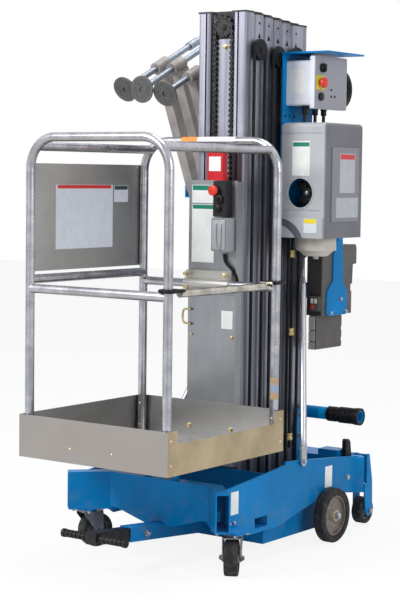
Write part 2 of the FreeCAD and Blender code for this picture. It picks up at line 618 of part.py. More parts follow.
# The rear mid rail goes through a saddle sleeve bolted to the carriage
SLEEVE_R = 20.0
keep("cage_rails", rail_mid_rear)
saddle_sleeve = ring((-100, yr, MID_Z), (1, 0, 0), SLEEVE_R, RAIL_R, 200)
saddle = box(-100, 100, yr, Y(PLATE_FRONT) - SEAT, MID_Z + 6, MID_Z + 48)
saddle = saddle.cut(cyl((-120, yr, MID_Z), (1, 0, 0), RAIL_R, 240))
saddle_low = box(-100, 100, yr + 4, Y(PLATE_FRONT) - SEAT, MID_Z - 30, MID_Z - 6)
saddle_low = saddle_low.cut(cyl((-120, yr, MID_Z), (1, 0, 0), RAIL_R, 240))
saddle_all = saddle_sleeve.fuse(saddle).fuse(saddle_low).removeSplitter()
keep("saddle", saddle_all)

# Sign panel on the left side of the cage
PANEL_X = -POST_X - RAIL_R - SEAT
panel = box(PANEL_X - 2.5, PANEL_X, Y(TRAY_FRONT) + 22, Y(TRAY_REAR) - 22, 1027, 1402)
keep("sign_panel", panel)

# Sliding entry gate: mid rail on the right with loops round both posts
LOOP_R = 4.0
GATE_Z = MID_Z + RAIL_R + LOOP_R + SEAT
GATE_BAR_Z = 980.0
gate_bar = cyl((POST_X, yf + 62, GATE_BAR_Z), (0, 1, 0), RAIL_R - 3, yr - yf - 124)
keep("entry_gate", gate_bar)


def gate_loop(y_post, y_bar):
    w = RAIL_R + 5.5
    sgn = 1 if y_bar > y_post else -1
    y_far = y_post - sgn * w
    pts_ = [(POST_X - w, y_bar, GATE_Z), (POST_X - w, y_far, GATE_Z), (POST_X + w, y_far, GATE_Z),
            (POST_X + w, y_bar, GATE_Z)]
    arm = tube_path(pts_, LOOP_R, w - 0.5)
    end = box(POST_X - w - LOOP_R, POST_X + w + LOOP_R, min(y_bar, y_bar + sgn * 14),
              max(y_bar, y_bar + sgn * 14), GATE_Z - LOOP_R - 1, GATE_Z + LOOP_R + 1)
    return arm.fuse(end).removeSplitter()


loops = [gate_loop(yf, yf + 62 - 14), gate_loop(yr, yr - 62 + 14)]
loops = [s.cut(gate_bar) for s in loops]
keep("entry_gate", Part.makeCompound(loops))

# Fittings on the carriage: red box, platform control box, outlet box, lanyard ring
red = box(6, 75, yr - 21, yr + 7, PLATE_Z1 + SEAT, 1473)
red_arm = box(12, 62, yr + 7, Y(PLATE_FRONT) + PLATE_T, PLATE_Z1 + SEAT, 1380)
keep("document_box", fuse([red, red_arm]))
ctl = box(31, 85, Y(PLATE_FRONT) - 42, Y(PLATE_FRONT) - SEAT, 1218, 1347)
ctl = ctl.makeFillet(4.0, [e for e in ctl.Edges if e.BoundBox.YLength > 30])
keep("platform_control_box", ctl)
outlet = box(30, 98, Y(PLATE_FRONT) - 50, Y(PLATE_FRONT) - SEAT, 1093, 1214)
outlet = outlet.makeFillet(3.0, [e for e in outlet.Edges if e.BoundBox.YLength > 30])
keep("outlet_box", outlet)

# Rear mast bracket plates, braces and push bar
BRACKET_REAR = WELL_REAR - WELL_T - SEAT
bracket_plate = prism_x([(Y(1096), 120), (Y(BRACKET_REAR), 120), (Y(BRACKET_REAR), 320), (Y(1140), 400), (Y(1140), 470),
                         (Y(1104), 470), (Y(1096), 400)], COL_HALF, COL_HALF + 8)
keep("mast_brackets", both(bracket_plate))

BRACE_FOOT = (SIDE_X + 9.0, 831.0, 328.0)
BRACE_HEAD = (COL_HALF + 14.0, 1121.0, 1064.0)
BAR_R = 12.5


def brace():
    a = V(BRACE_FOOT[0], Y(BRACE_FOOT[1]), BRACE_FOOT[2])
    b = V(BRACE_HEAD[0], Y(BRACE_HEAD[1]), BRACE_HEAD[2])
    d = (b - a).normalize()
    length = (b - a).Length
    rod = Part.makeCylinder(BAR_R, length - 190, a + d * 70, d)
    neck = Part.makeCone(BAR_R, 8.0, 30, a + d * (length - 120), d)
    thin = Part.makeCylinder(8.0, 90, a + d * (length - 92), d)
    flat = box(-4, 4, -18, 18, -16, 60)
    tip = cyl((-4, 0, 0), (1, 0, 0), 18, 8)
    foot_s = flat.cut(box(-5, 5, -20, 20, -20, 0)).fuse(tip)
    foot_s.translate(a)
    blend = Part.makeCone(17.0, BAR_R, 34, a + d * 40, d)
    s = rod.fuse([neck, thin, blend])
    lug = cyl((BRACE_HEAD[0] - 14 + 0.0, b.y, b.z), (1, 0, 0), 20, 8)
    pin = cyl((BRACE_HEAD[0] - 14, b.y, b.z), (1, 0, 0), 8, 26)
    bolt = cyl((a.x - 9, a.y, a.z), (1, 0, 0), 8, 20)
    s = s.fuse([foot_s, lug, pin, bolt])
    return s.removeSplitter()


keep("mast_braces", both(brace()))

PUSH_Y, PUSH_Z, PUSH_R = 1166.0, 458.0, 24.0
push_bar = ring((-360, Y(PUSH_Y), PUSH_Z), (1, 0, 0), PUSH_R, PUSH_R - 4, 720)
push_mount = box(-60, 60, Y(1141), Y(PUSH_Y), PUSH_Z - 20, PUSH_Z + 20)
push_mount = push_mount.cut(cyl((-360, Y(PUSH_Y), PUSH_Z), (1, 0, 0), PUSH_R, 720))
keep("push_bar", push_bar.fuse(push_mount).removeSplitter())
sleeves = []
for s in (-1, 1):
    x0 = 222.0
    one = fuse([ring((s * x0, Y(PUSH_Y), PUSH_Z), (s, 0, 0), 29, PUSH_R, 34),
                ring((s * (x0 + 34), Y(PUSH_Y), PUSH_Z), (s, 0, 0), 27, PUSH_R, 16),
                ring((s * (x0 + 50), Y(PUSH_Y), PUSH_Z), (s, 0, 0), 31, PUSH_R, 70),
                ring((s * (x0 + 120), Y(PUSH_Y), PUSH_Z), (s, 0, 0), 33, PUSH_R, 20)])
    sleeves.append(one)
keep("push_sleeves", Part.makeCompound(sleeves))

# Power unit bracket on the right of the mast, its shelf and hanging strap
BR_X0 = COL_HALF + 28.0
BR_X1 = BR_X0 + 6.0
bracket = box(BR_X0, BR_X1, Y(932), Y(1139), 1140, 1820)
bracket = cut(bracket, [cyl((BR_X0 - 5, Y(950 + 30 * i), 1590), (1, 0, 0), 7, 20) for i in range(3)])
shelf = box(BR_X0, 332, Y(932), Y(1191), 1820, 1826)
spacers = [box(COL_HALF, BR_X0, Y(1106), Y(1136), z, z + 50) for z in (1180, 1500, 1740)]
keep("power_bracket", bracket, shelf, *spacers)
# Hanging strap on the side of the battery housing, carried from the rear of the mast
MAST_REAR = COL_FRONT + COL_PITCH * (COL_N - 1) + REAR_DEPTH_6
HOUSING_X1 = 200.0
strap_profile = [(1235, 1170), (1270, 1170), (1270, 1133), (1277, 959), (1306, 928), (1308, 841), (1300, 833),
                 (1169, 833), (1158, 846), (1162, 928), (1204, 970), (1203, 1066), (1235, 1134)]
strap = prism_x([(Y(a), b) for a, b in strap_profile], HOUSING_X1 + SEAT, HOUSING_X1 + 6)
keep("power_bracket", strap)
keep("power_bracket", box(COL_HALF - 4, HOUSING_X1 + SEAT, Y(1235), Y(1241), 1120, 1170))
keep("power_bracket", box(COL_HALF - 10, COL_HALF - 4, Y(MAST_REAR), Y(1241), 1120, 1170))

# Ground control box on the bracket
gbody = box(BR_X1 + SEAT, 245, Y(955), Y(1165), 1630, 1796)
gbody = gbody.makeFillet(10.0, [e for e in gbody.Edges if e.BoundBox.XLength > 50])
glid = box(245, 268, Y(948), Y(1172), 1617, 1812)
glid = glid.makeFillet(8.0, [e for e in glid.Edges if e.BoundBox.XLength > 20])
keep("ground_box", fuse([gbody, glid]))

# Power unit cover: hollow moulding with a round opening in its front
CV_X0, CV_X1 = BR_X1 + SEAT, 332.0
CV_Y0, CV_Y1 = 930.0, 1200.0
CV_Z0, CV_Z1 = 1140.0 + SEAT, 1566.0
HOLE_X, HOLE_Z, HOLE_R = 222.0, 1306.0, 54.0
CV_T = 5.0
cover = box(CV_X0, CV_X1, Y(CV_Y0), Y(CV_Y1), CV_Z0, CV_Z1)
round_edges = [e for e in cover.Edges if (e.BoundBox.ZLength > 300 and e.BoundBox.XMin > 300)
               or (e.BoundBox.ZMin > CV_Z1 - 1)]
cover = cover.makeFillet(16.0, round_edges)
cavity = box(CV_X0 - 1, CV_X1 - CV_T, Y(CV_Y0) + CV_T, Y(CV_Y1) - CV_T, CV_Z0 - 1, CV_Z1 - CV_T)
cavity = cavity.makeFillet(12.0, [e for e in cavity.Edges if (e.BoundBox.ZLength > 300 and e.BoundBox.XMin > 300)])
cover = cover.cut(cavity)
cover = cover.cut(cyl((HOLE_X, Y(CV_Y0) - 5, HOLE_Z), (0, 1, 0), HOLE_R, 40))
GROOVE_DEEP = 2.5
for groove_z in (1524.0, 1240.0):
    cover = cover.cut(box(CV_X0 - 1, CV_X1 - 18, Y(CV_Y0) - 1, Y(CV_Y0) + GROOVE_DEEP, groove_z, groove_z + 4))
hole_rim = ring((HOLE_X, Y(CV_Y0) - 3, HOLE_Z), (0, 1, 0), HOLE_R + 4, HOLE_R, 3.2)
raised = box(CV_X1, CV_X1 + 5, Y(968), Y(1160), 1200, 1476)
raised = raised.makeFillet(4.0, [e for e in raised.Edges if e.BoundBox.XMin > CV_X1 + 4.9])
LIP_OUT = 7.0
foot_lip = box(CV_X0, CV_X1 - 10, Y(CV_Y0) - LIP_OUT, Y(CV_Y0) + 2, CV_Z0, CV_Z0 + 78)
foot_lip = foot_lip.cut(cyl((CV_X0 - 6, Y(CV_Y0) - 20, CV_Z0 - 44), (0, 1, 0), 116, 40))
step = box(CV_X0, CV_X0 + 92, Y(CV_Y0) - LIP_OUT, Y(CV_Y0) + 2, CV_Z0, CV_Z0 + 42)
step = step.common(cyl((CV_X0 - 6, Y(CV_Y0) - 20, CV_Z0 - 44), (0, 1, 0), 90, 40))
foot_lip = foot_lip.fuse(step)
cover = cover.fuse([hole_rim, raised, foot_lip]).removeSplitter()
keep("power_cover", cover)
MOTOR = (224.0, 1044.0)
motor = fuse([cyl((MOTOR[0], Y(MOTOR[1]), 1170), (0, 0, 1), 52, 190),
              box(BR_X1, MOTOR[0], Y(MOTOR[1]) - 30, Y(MOTOR[1]) + 30, 1190, 1250),
              box(MOTOR[0] - 45, MOTOR[0] + 45, Y(MOTOR[1]) - 45, Y(MOTOR[1]) + 45, 1166, 1210)])
keep("pump_unit", motor)
tank = fuse([cyl((MOTOR[0], Y(MOTOR[1]), 1092), (0, 0, 1), 76, 74 - SEAT),
             cone((MOTOR[0], Y(MOTOR[1]), 1092), (0, 0, -1), 70, 44, 22),
             cyl((MOTOR[0], Y(MOTOR[1]), 1070), (0, 0, -1), 10, 12)])
tank = tank.cut(box(BR_X0 - 1, BR_X1 + SEAT, Y(900), Y(1200), 1000, 1300))
keep("pump_unit", tank)

# Charger and battery housings behind the mast, held by the strap
HOUSING_X0 = COL_HALF + 24.0
HOUSING_FRONT = 1134.0
side_shape = [(HOUSING_FRONT, 835), (1352, 835), (1352, 917), (1344, 926), (1344, 948), (1356, 951), (1360, 1026),
              (1386, 1028), (1386, 1090), (1378, 1104), (HOUSING_FRONT, 1104)]
charger = prism_x([(Y(a), b) for a, b in side_shape], HOUSING_X0, HOUSING_X1)
charger = charger.makeChamfer(4.0, [e for e in charger.Edges if e.BoundBox.ZLength > 200])
keep("battery_housings", charger)
socket_box = box(HOUSING_X0 + 32, HOUSING_X1 - 2, Y(HOUSING_FRONT) - 22, Y(HOUSING_FRONT), 854, 911)
keep("battery_housings", socket_box.makeChamfer(2.0, [e for e in socket_box.Edges if e.BoundBox.YLength > 15]))
LOWER_X1 = 176.0
lower = [box(HOUSING_X0 + 17, LOWER_X1, Y(HOUSING_FRONT), Y(1318), 704, 835)]
rib_table = [
    # bottom, top of each rib on the lower housing's front
    (704, 732), (736, 775), (779, 831),
]
for rib_z0, rib_z1 in rib_table:
    lower.append(box(HOUSING_X0 + 17, LOWER_X1 - 4, Y(HOUSING_FRONT) - 6, Y(HOUSING_FRONT) + 1, rib_z0, rib_z1))
    lower.append(box(LOWER_X1 - 20, LOWER_X1, Y(1317), Y(1322), rib_z0 + 4, rib_z1 - 6))
keep("battery_housings", fuse(lower))
keep("power_bracket", box(-60, HOUSING_X0, Y(MAST_REAR), Y(MAST_REAR) + 6, 900, 960))
keep("power_bracket", box(HOUSING_X0 - 28, HOUSING_X0, Y(MAST_REAR) + 6, Y(1250), 912, 918))

# Hydraulic line between the strands of the rear hose, with three clamped fittings
LINE_X, LINE_Y, LINE_R = COL_HALF + 14.0, 1045.0, 6.0
line = cyl((LINE_X, Y(LINE_Y), 330), (0, 0, 1), LINE_R, 810)
for z in (375, 768, 1073):
    nut = Part.makeCylinder(9.0, 26, V(LINE_X, Y(LINE_Y), z - 13))
    clamp = box(COL_HALF, LINE_X, Y(LINE_Y) - 6, Y(LINE_Y) + 6, z - 5, z + 5)
    line = line.fuse([nut, clamp])
keep("hoses_6", line.removeSplitter())

# Loading wheels on an axle behind the top of the mast
LOAD_Y, LOAD_Z, LOAD_R = 1259.0, 1703.0, 73.0
LOAD_X0, LOAD_X1 = 166.0, 200.0
arm = prism_x([(Y(1141), 1660), (Y(1141), 1790), (Y(LOAD_Y) + 10, LOAD_Z + 22), (Y(LOAD_Y) + 22, LOAD_Z),
               (Y(LOAD_Y) + 10, LOAD_Z - 22)], 84, 92)
arm_foot = box(60, 92, Y(1141), Y(1147), 1660, 1790)
load_axle = cyl((-206, Y(LOAD_Y), LOAD_Z), (1, 0, 0), 10.0, 412)
load_caps = [cyl((s * (LOAD_X1 + SEAT), Y(LOAD_Y), LOAD_Z), (s, 0, 0), 15, 8) for s in (-1, 1)]
load_stops = [cyl((s * (LOAD_X0 - SEAT), Y(LOAD_Y), LOAD_Z), (-s, 0, 0), 15, 8) for s in (-1, 1)]
axle_all = fuse([load_axle] + load_caps + load_stops)
keep("loading_frame", axle_all)
keep("loading_frame", both(fuse([arm, arm_foot]).cut(axle_all)))
load_tyre = tyre_x(LOAD_X0, LOAD_X1, Y(LOAD_Y), LOAD_Z, LOAD_R, 56, 5.0)
load_hub = disc_hub(LOAD_X0, LOAD_X1, Y(LOAD_Y), LOAD_Z, 56, 22, 10.0 + RUN_FIT, 4)
keep("loading_wheel_r", load_tyre)
keep("loading_wheel_l", mirror_x(load_tyre))
keep("loading_wheel_r", load_hub)
keep("loading_wheel_l", mirror_x(load_hub))

# Stowed outriggers on the left of the mast
OUT_TILT = 25.0
OUT_W, OUT_D = 40.0, 60.0
OUT_SET = 17.0
COLLAR_R = 24.0
ROD_R = 12.0
PAD_R = 51.0
PAD_RIM = 6.0
PAD_H = 18.0
RACK_Z = 1276.0
RACK_T = 6.0
outrigger_table = [
    # x, pad distance from the tray front, pad height, reach of the rod up to its collar, pitch of the pad
    (-442.0, 721.0, 1690.0, 245.0, 30.0),
    (-346.0, 702.0, 1687.0, 240.0, 8.0),
    (-249.0, 718.0, 1670.0, 191.0, 27.0),
    (-163.0, 896.0, 1722.0, 65.0, 25.0),
]
pad_grooves = [21.0, 29.0, 37.0]
rod_d = V(0, cos(radians(OUT_TILT)), sin(radians(OUT_TILT)))
beams, rods, pads = [], [], []
for x, pad_y, pad_z, reach, pitch in outrigger_table:
    pad_c = V(x, Y(pad_y), pad_z)
    c = pad_c + rod_d * reach
    # Beam built upright under its collar, then turned
    b = box(-OUT_W / 2, OUT_W / 2, -OUT_SET, OUT_D - OUT_SET, -700, -18)
    b.rotate(V(0, 0, 0), V(1, 0, 0), OUT_TILT)
    b.translate(c)
    b = b.cut(box(x - 100, x + 100, Y(500), Y(1500), 0, RACK_Z + RACK_T))
    collar = Part.makeCylinder(COLLAR_R, 76, c - rod_d * 38, rod_d)
    bore = Part.makeCylinder(ROD_R, 900, c - rod_d * 450, rod_d)
    beams.append(b.fuse(collar).cut(bore).removeSplitter())
    rod = Part.makeCylinder(ROD_R, reach + 300 - PAD_H / 2, pad_c + rod_d * (PAD_H / 2), rod_d)
    head = Part.makeCylinder(ROD_R + 5, 60, c + rod_d * 200, rod_d)
    rods.append(rod.fuse(head).removeSplitter())
    # Pad turned on the ball at the rod's end: rim, dome, centre hole, turned grooves
    up = V(0, cos(radians(pitch)), sin(radians(pitch)))
    low = pad_c - up * (PAD_RIM / 2)
    pad = Part.makeCylinder(PAD_R, PAD_RIM, low, up)
    pad = pad.fuse(Part.makeCone(PAD_R - 4, ROD_R + 7, PAD_H - PAD_RIM, low + up * PAD_RIM, up))
    pad = pad.cut(Part.makeCylinder(11, 5, low, up))
    for r in pad_grooves:
        pad = pad.cut(Part.makeCylinder(r + 1.5, 1.2, low, up).cut(Part.makeCylinder(r - 1.5, 1.2, low, up)))
    pads.append(pad.cut(rod).removeSplitter())
keep("outrigger_beams", Part.makeCompound(beams))
keep("outrigger_jacks", Part.makeCompound(rods))
keep("outrigger_jacks", Part.makeCompound(pads))
RACK_X = 470.0
rack = prism_z([(-COL_HALF, Y(1050)), (-COL_HALF, Y(MAST_REAR)), (-130, Y(1246)), (-RACK_X, Y(1252)),
                (-RACK_X, Y(1150)), (-240, Y(1075))], RACK_Z, RACK_Z + RACK_T)
keep("mast_brackets", rack)
keep("mast_brackets", box(-RACK_X, -RACK_X + 6, Y(1150), Y(1252), RACK_Z + RACK_T, RACK_Z + 50))
keep("mast_brackets", box(-COL_HALF - 6, -COL_HALF, Y(1054), Y(1138), RACK_Z - 70, RACK_Z))

for name, solids in NODES.items():
    Part.makeCompound(solids).exportStep("parts/%s.step" % name)
print(len(NODES), "nodes")
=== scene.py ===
import bpy
import bmesh
from math import cos, sin, pi, radians
from mathutils import Matrix, Vector


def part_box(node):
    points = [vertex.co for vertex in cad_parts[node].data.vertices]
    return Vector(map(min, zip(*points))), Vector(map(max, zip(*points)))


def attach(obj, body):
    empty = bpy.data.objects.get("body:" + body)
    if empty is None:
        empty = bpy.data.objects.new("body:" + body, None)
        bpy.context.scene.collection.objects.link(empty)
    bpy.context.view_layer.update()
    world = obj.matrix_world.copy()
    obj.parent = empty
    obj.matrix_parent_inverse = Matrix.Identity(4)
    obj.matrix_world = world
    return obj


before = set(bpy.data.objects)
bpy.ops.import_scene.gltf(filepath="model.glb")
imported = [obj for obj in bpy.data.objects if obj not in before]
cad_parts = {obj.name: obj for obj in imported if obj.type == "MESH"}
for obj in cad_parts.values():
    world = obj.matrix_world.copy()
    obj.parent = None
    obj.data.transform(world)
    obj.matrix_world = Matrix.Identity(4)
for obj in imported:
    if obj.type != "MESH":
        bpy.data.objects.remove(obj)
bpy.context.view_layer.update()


# Stage: pale floor, white backdrop, soft lamps and the camera of the photograph.
# Two dark cards stand out of view, so that the bright tubes reflect something.
scene = bpy.context.scene
scene.view_settings.view_transform = "Standard"
camera_data = bpy.data.cameras.new("camera")
camera_data.sensor_width = 36.0
camera_data.lens = 98.41
camera_data.clip_end = 60.0
camera = bpy.data.objects.new("camera", camera_data)
scene.collection.objects.link(camera)
camera_at = (3.4892, -4.9085, 1.3716)
camera_turn, camera_dip, camera_roll = 35.887, 4.393, 0.736
camera.matrix_world = (Matrix.Translation(camera_at) @ Matrix.Rotation(radians(camera_turn), 4, "Z")
                       @ Matrix.Rotation(radians(90 - camera_dip), 4, "X")
                       @ Matrix.Rotation(radians(camera_roll), 4, "Z"))
scene.camera = camera


def lamp(name, place, aim, size, watts):
    # A round soft box that looks at a point of the machine.
    data = bpy.data.lights.new(name, "AREA")
    data.shape = "DISK"
    data.size = size
    data.energy = watts
    obj = bpy.data.objects.new(name, data)
    scene.collection.objects.link(obj)
    aim_dir = Vector(aim) - Vector(place)
    obj.matrix_world = Matrix.Translation(place) @ aim_dir.to_track_quat("-Z", "Y").to_matrix().to_4x4()


lamp("key", (-2.2, -5.2, 4.2), (0, 0, 0.9), 2.2, 300)
lamp("side_fill", (5.0, -0.6, 2.6), (0, 0.1, 0.9), 2.2, 75)
lamp("top", (0.4, 0.6, 5.2), (0, 0, 0.8), 2.5, 90)

world = bpy.data.worlds.new("studio")
scene.world = world
world.use_nodes = True
nodes, links = world.node_tree.nodes, world.node_tree.links
rays = nodes.new("ShaderNodeLightPath")
seen = nodes.new("ShaderNodeMath")
seen.operation = "MAXIMUM"
links.new(rays.outputs["Is Camera Ray"], seen.inputs[0])
links.new(rays.outputs["Is Glossy Ray"], seen.inputs[1])
white = nodes.new("ShaderNodeBackground")
white.inputs["Color"].default_value = (1, 1, 1, 1)
soft = nodes.new("ShaderNodeBackground")
soft.inputs["Color"].default_value = (0.9, 0.95, 1, 1)
soft.inputs["Strength"].default_value = 0.55
blend = nodes.new("ShaderNodeMixShader")
links.new(seen.outputs[0], blend.inputs[0])
links.new(soft.outputs[0], blend.inputs[1])
links.new(white.outputs[0], blend.inputs[2])
links.new(blend.outputs[0], nodes["World Output"].inputs["Surface"])

floor_reach, floor_shown, floor_mirrored = 14, 0.88, 0.3
floor_mesh = bmesh.new()
bmesh.ops.create_grid(floor_mesh, x_segments=1, y_segments=1, size=floor_reach)
floor_data = bpy.data.meshes.new("floor")
floor_mesh.to_mesh(floor_data)
floor = bpy.data.objects.new("floor", floor_data)
scene.collection.objects.link(floor)
floor_paint = bpy.data.materials.new("floor_paint")
floor_paint.use_nodes = True
nodes, links = floor_paint.node_tree.nodes, floor_paint.node_tree.links
nodes["Principled BSDF"].inputs["Base Color"].default_value = (0.86, 0.86, 0.86, 1)
nodes["Principled BSDF"].inputs["Roughness"].default_value = 0.8
nodes["Principled BSDF"].inputs["Specular IOR Level"].default_value = 0.1
glow = nodes.new("ShaderNodeEmission")
rays = nodes.new("ShaderNodeLightPath")
reflected = nodes.new("ShaderNodeMath")
reflected.operation = "MULTIPLY"
reflected.inputs[1].default_value = floor_mirrored
links.new(rays.outputs["Is Glossy Ray"], reflected.inputs[0])
share = nodes.new("ShaderNodeMath")
share.operation = "MULTIPLY_ADD"
share.inputs[1].default_value = floor_shown
links.new(rays.outputs["Is Camera Ray"], share.inputs[0])
links.new(reflected.outputs[0], share.inputs[2])
blend = nodes.new("ShaderNodeMixShader")
links.new(share.outputs[0], blend.inputs[0])
links.new(nodes["Principled BSDF"].outputs[0], blend.inputs[1])
links.new(glow.outputs[0], blend.inputs[2])
links.new(blend.outputs[0], nodes["Material Output"].inputs["Surface"])
floor_data.materials.append(floor_paint)

for name, place, turn, size in (("card_left", (-3.4, -2.6, 1.2), 40, 1.1),
                                ("card_right", (4.2, -6.2, 1.4), -35, 1.6)):
    card_mesh = bmesh.new()
    bmesh.ops.create_grid(card_mesh, x_segments=1, y_segments=1, size=size,
                          matrix=Matrix.Translation(place) @ Matrix.Rotation(radians(turn), 4, "Z")
                          @ Matrix.Rotation(radians(90), 4, "X"))
    card_data = bpy.data.meshes.new(name)
    card_mesh.to_mesh(card_data)
    card = bpy.data.objects.new(name, card_data)
    scene.collection.objects.link(card)
    card.visible_camera = False
    card.visible_diffuse = False
    card.visible_shadow = False
    black_card = bpy.data.materials.new(name)
    black_card.use_nodes = True
    black_card.node_tree.nodes["Principled BSDF"].inputs["Base Color"].default_value = (0.03, 0.03, 0.035, 1)
    card_data.materials.append(black_card)


# Base weldment: laser-cut steel plates, square tube and folded sheet, welded and
# powder coated in a strong blue; the coat has a slight peel, dust low down and a painted highlight on faces that
# look upwards.
class Value:
    # A node's output, on which arithmetic adds Math nodes.
    def __init__(self, finish, socket):
        self.finish = finish
        self.socket = socket

    def math(self, operation, *terms):
        return self.finish.node("ShaderNodeMath", {"operation": operation}, *terms)

    def __add__(self, other):
        return self.math("ADD", self, other)

    def __radd__(self, other):
        return self.math("ADD", other, self)

    def __sub__(self, other):
        return self.math("SUBTRACT", self, other)

    def __rsub__(self, other):
        return self.math("SUBTRACT", other, self)

    def __mul__(self, other):
        return self.math("MULTIPLY", self, other)

    def __rmul__(self, other):
        return self.math("MULTIPLY", other, self)

    def __gt__(self, other):
        return self.math("GREATER_THAN", self, other)

    def __lt__(self, other):
        return self.math("LESS_THAN", self, other)

    def __abs__(self):
        return self.math("ABSOLUTE", self)

    def root(self):
        return self.math("SQRT", self)

    def sine(self):
        return self.math("SINE", self)

    def ramp(self, low, high):
        # Smooth step, 0 at low and 1 at high.
        return self.finish.node("ShaderNodeMapRange", {"interpolation_type": "SMOOTHSTEP"}, self, low, high)


class Finish:
    # One material and its Principled shader.
    def __init__(self, name, roughness=0.5, metallic=0.0, gloss=0.4):
        self.material = bpy.data.materials.new(name)
        self.material.use_nodes = True
        self.tree = self.material.node_tree
        self.shader = self.tree.nodes["Principled BSDF"]
        self.shader.inputs["Roughness"].default_value = roughness
        self.shader.inputs["Metallic"].default_value = metallic
        self.shader.inputs["Specular IOR Level"].default_value = gloss
        self.spot = None

    def node(self, kind, settings=None, *terms, out=0, **named):
        made = self.tree.nodes.new(kind)
        for key, value in (settings or {}).items():
            setattr(made, key, value)
        pairs = list(zip(made.inputs, terms)) + [(made.inputs[k.replace("_", " ")], v) for k, v in named.items()]
        for socket, value in pairs:
            self.give(socket, value)
        return Value(self, made.outputs[out])

    def give(self, socket, value):
        if isinstance(value, Value):
            self.tree.links.new(value.socket, socket)
        elif value is not None:
            if socket.type == "RGBA" and len(value) == 3:
                value = (*value, 1.0)
            socket.default_value = value

    def place(self):
        # Object coordinates, which are the machine's own, and their x, y and z.
        if self.spot is None:
            spot = self.node("ShaderNodeTexCoord", out=3)
            parts = self.node("ShaderNodeSeparateXYZ", None, spot)
            outputs = parts.socket.node.outputs
            self.spot = (spot, Value(self, outputs[0]), Value(self, outputs[1]), Value(self, outputs[2]))
        return self.spot

    def noise(self, scale, stretch=(1, 1, 1), detail=3.0, rough=0.55):
        spot = self.place()[0]
        if stretch != (1, 1, 1):
            spot = self.node("ShaderNodeMapping", None, Vector=spot, Scale=stretch)
        return self.node("ShaderNodeTexNoise", None, Vector=spot, Scale=scale, Detail=detail, Roughness=rough)

    def mix(self, share, first, second):
        made = self.tree.nodes.new("ShaderNodeMix")
        made.data_type = "RGBA"
        self.give(made.inputs[0], share)
        self.give(made.inputs[6], first)
        self.give(made.inputs[7], second)
        return Value(self, made.outputs[2])

    def dress(self, **sockets):
        for key, value in sockets.items():
            self.give(self.shader.inputs[key.replace("_", " ")], value)

    def upward_face_highlight(self):
        # Painted highlight: brighter paint on the faces and bends that look upwards, where the light falls from
        # above.
        normal = self.node("ShaderNodeTexCoord", out=1)
        parts = self.node("ShaderNodeSeparateXYZ", None, normal)
        return Value(self, parts.socket.node.outputs[2]).ramp(0.55, 0.95)

    def bump(self, height, depth, strength=1.0):
        # depth is in metres for a height from 0 to 1
        made = self.node("ShaderNodeBump", None, Strength=strength, Distance=depth, Height=height)
        self.give(self.shader.inputs["Normal"], made)


def cover_node(name, finish):
    # A CAD node keeps its shape and takes this finish.
    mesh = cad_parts[name].data
    mesh.materials.clear()
    mesh.materials.append(finish.material)


def blue_coat(name, light_ring=None):
    # light_ring is a stretch of x that was left in a lighter blue
    colour, light, dusty = (0.0004, 0.180, 0.455), (0.003, 0.33, 0.75), (0.20, 0.19, 0.17)
    coat = Finish(name, roughness=0.33, gloss=0.10)
    x, y, z = coat.place()[1:]
    cloud = coat.noise(5.0, detail=4.0)
    peel = coat.noise(420.0, detail=2.0)
    dust = coat.noise(22.0, detail=5.0).ramp(0.45, 0.75) * z.ramp(0.34, 0.06)
    shade = coat.mix(cloud.ramp(0.3, 0.7), tuple(c * 0.86 for c in colour), tuple(c * 1.1 for c in colour))
    shade = coat.mix(dust * 0.35, shade, dusty)
    scratch = coat.noise(60.0, stretch=(1, 0.12, 1.6), detail=2.0).ramp(0.72, 0.76)
    shade = coat.mix(scratch * 0.25, shade, tuple(min(1.0, c * 1.9 + 0.02) for c in colour))
    # painted highlight: the coat is lighter where its faces look upwards
    top_highlight = coat.upward_face_highlight()
    shade = coat.mix(top_highlight * 0.6, shade, tuple(min(1.0, c * 1.5 + 0.03) for c in colour))
    if light_ring:
        shade = coat.mix((x > light_ring[0]) * (x < light_ring[1]), shade, light)
    coat.dress(Base_Color=shade, Roughness=0.28 + cloud * 0.14 + dust * 0.3)
    coat.bump(peel + cloud * 0.5, 0.00022, 0.5)
    return coat


blue = blue_coat("blue_powder_coat")
for name in ("base_plates", "corner_sockets", "mast_well", "rear_deck", "mast_brackets", "power_bracket",
             "loading_frame", "rest_pegs"):
    cover_node(name, blue)
cover_node("push_bar", blue_coat("blue_push_bar", (0.185, 0.232)))


def solid(name, mesh, body, finish, smooth=35.0):
    # Turns a bmesh into a finished piece that rides on a body.
    bmesh.ops.recalc_face_normals(mesh, faces=mesh.faces)
    for face in mesh.faces:
        face.smooth = True
    for edge in mesh.edges:
        edge.smooth = edge.calc_face_angle(0.0) < radians(smooth)
    data = bpy.data.meshes.new(name)
    mesh.to_mesh(data)
    mesh.free()
    data.materials.append(finish.material)
    obj = bpy.data.objects.new(name, data)
    scene.collection.objects.link(obj)
    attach(obj, body)


def stand(place, direction):
    # Frame whose local Z points along a direction.
    return Matrix.Translation(place) @ Vector(direction).to_track_quat("Z", "Y").to_matrix().to_4x4()


def disc(mesh, place, direction, radius, height, sides=24, bevel=0.0):
    # A short cylinder from its foot along a direction.
    at = stand(place, direction) @ Matrix.Translation((0, 0, height / 2))
    made = bmesh.ops.create_cone(mesh, cap_ends=True, segments=sides, radius1=radius, radius2=radius,
                                 depth=height, matrix=at)
    if bevel:
        edges = {e for v in made["verts"] for e in v.link_edges}
        flat = at.inverted()
        top = [e for e in edges if all(abs((flat @ v.co).z - height / 2) < 1e-6 for v in e.verts)]
        bmesh.ops.bevel(mesh, geom=top, offset=bevel, offset_type="OFFSET", segments=2, profile=0.5,
                        affect="EDGES", material=-1)


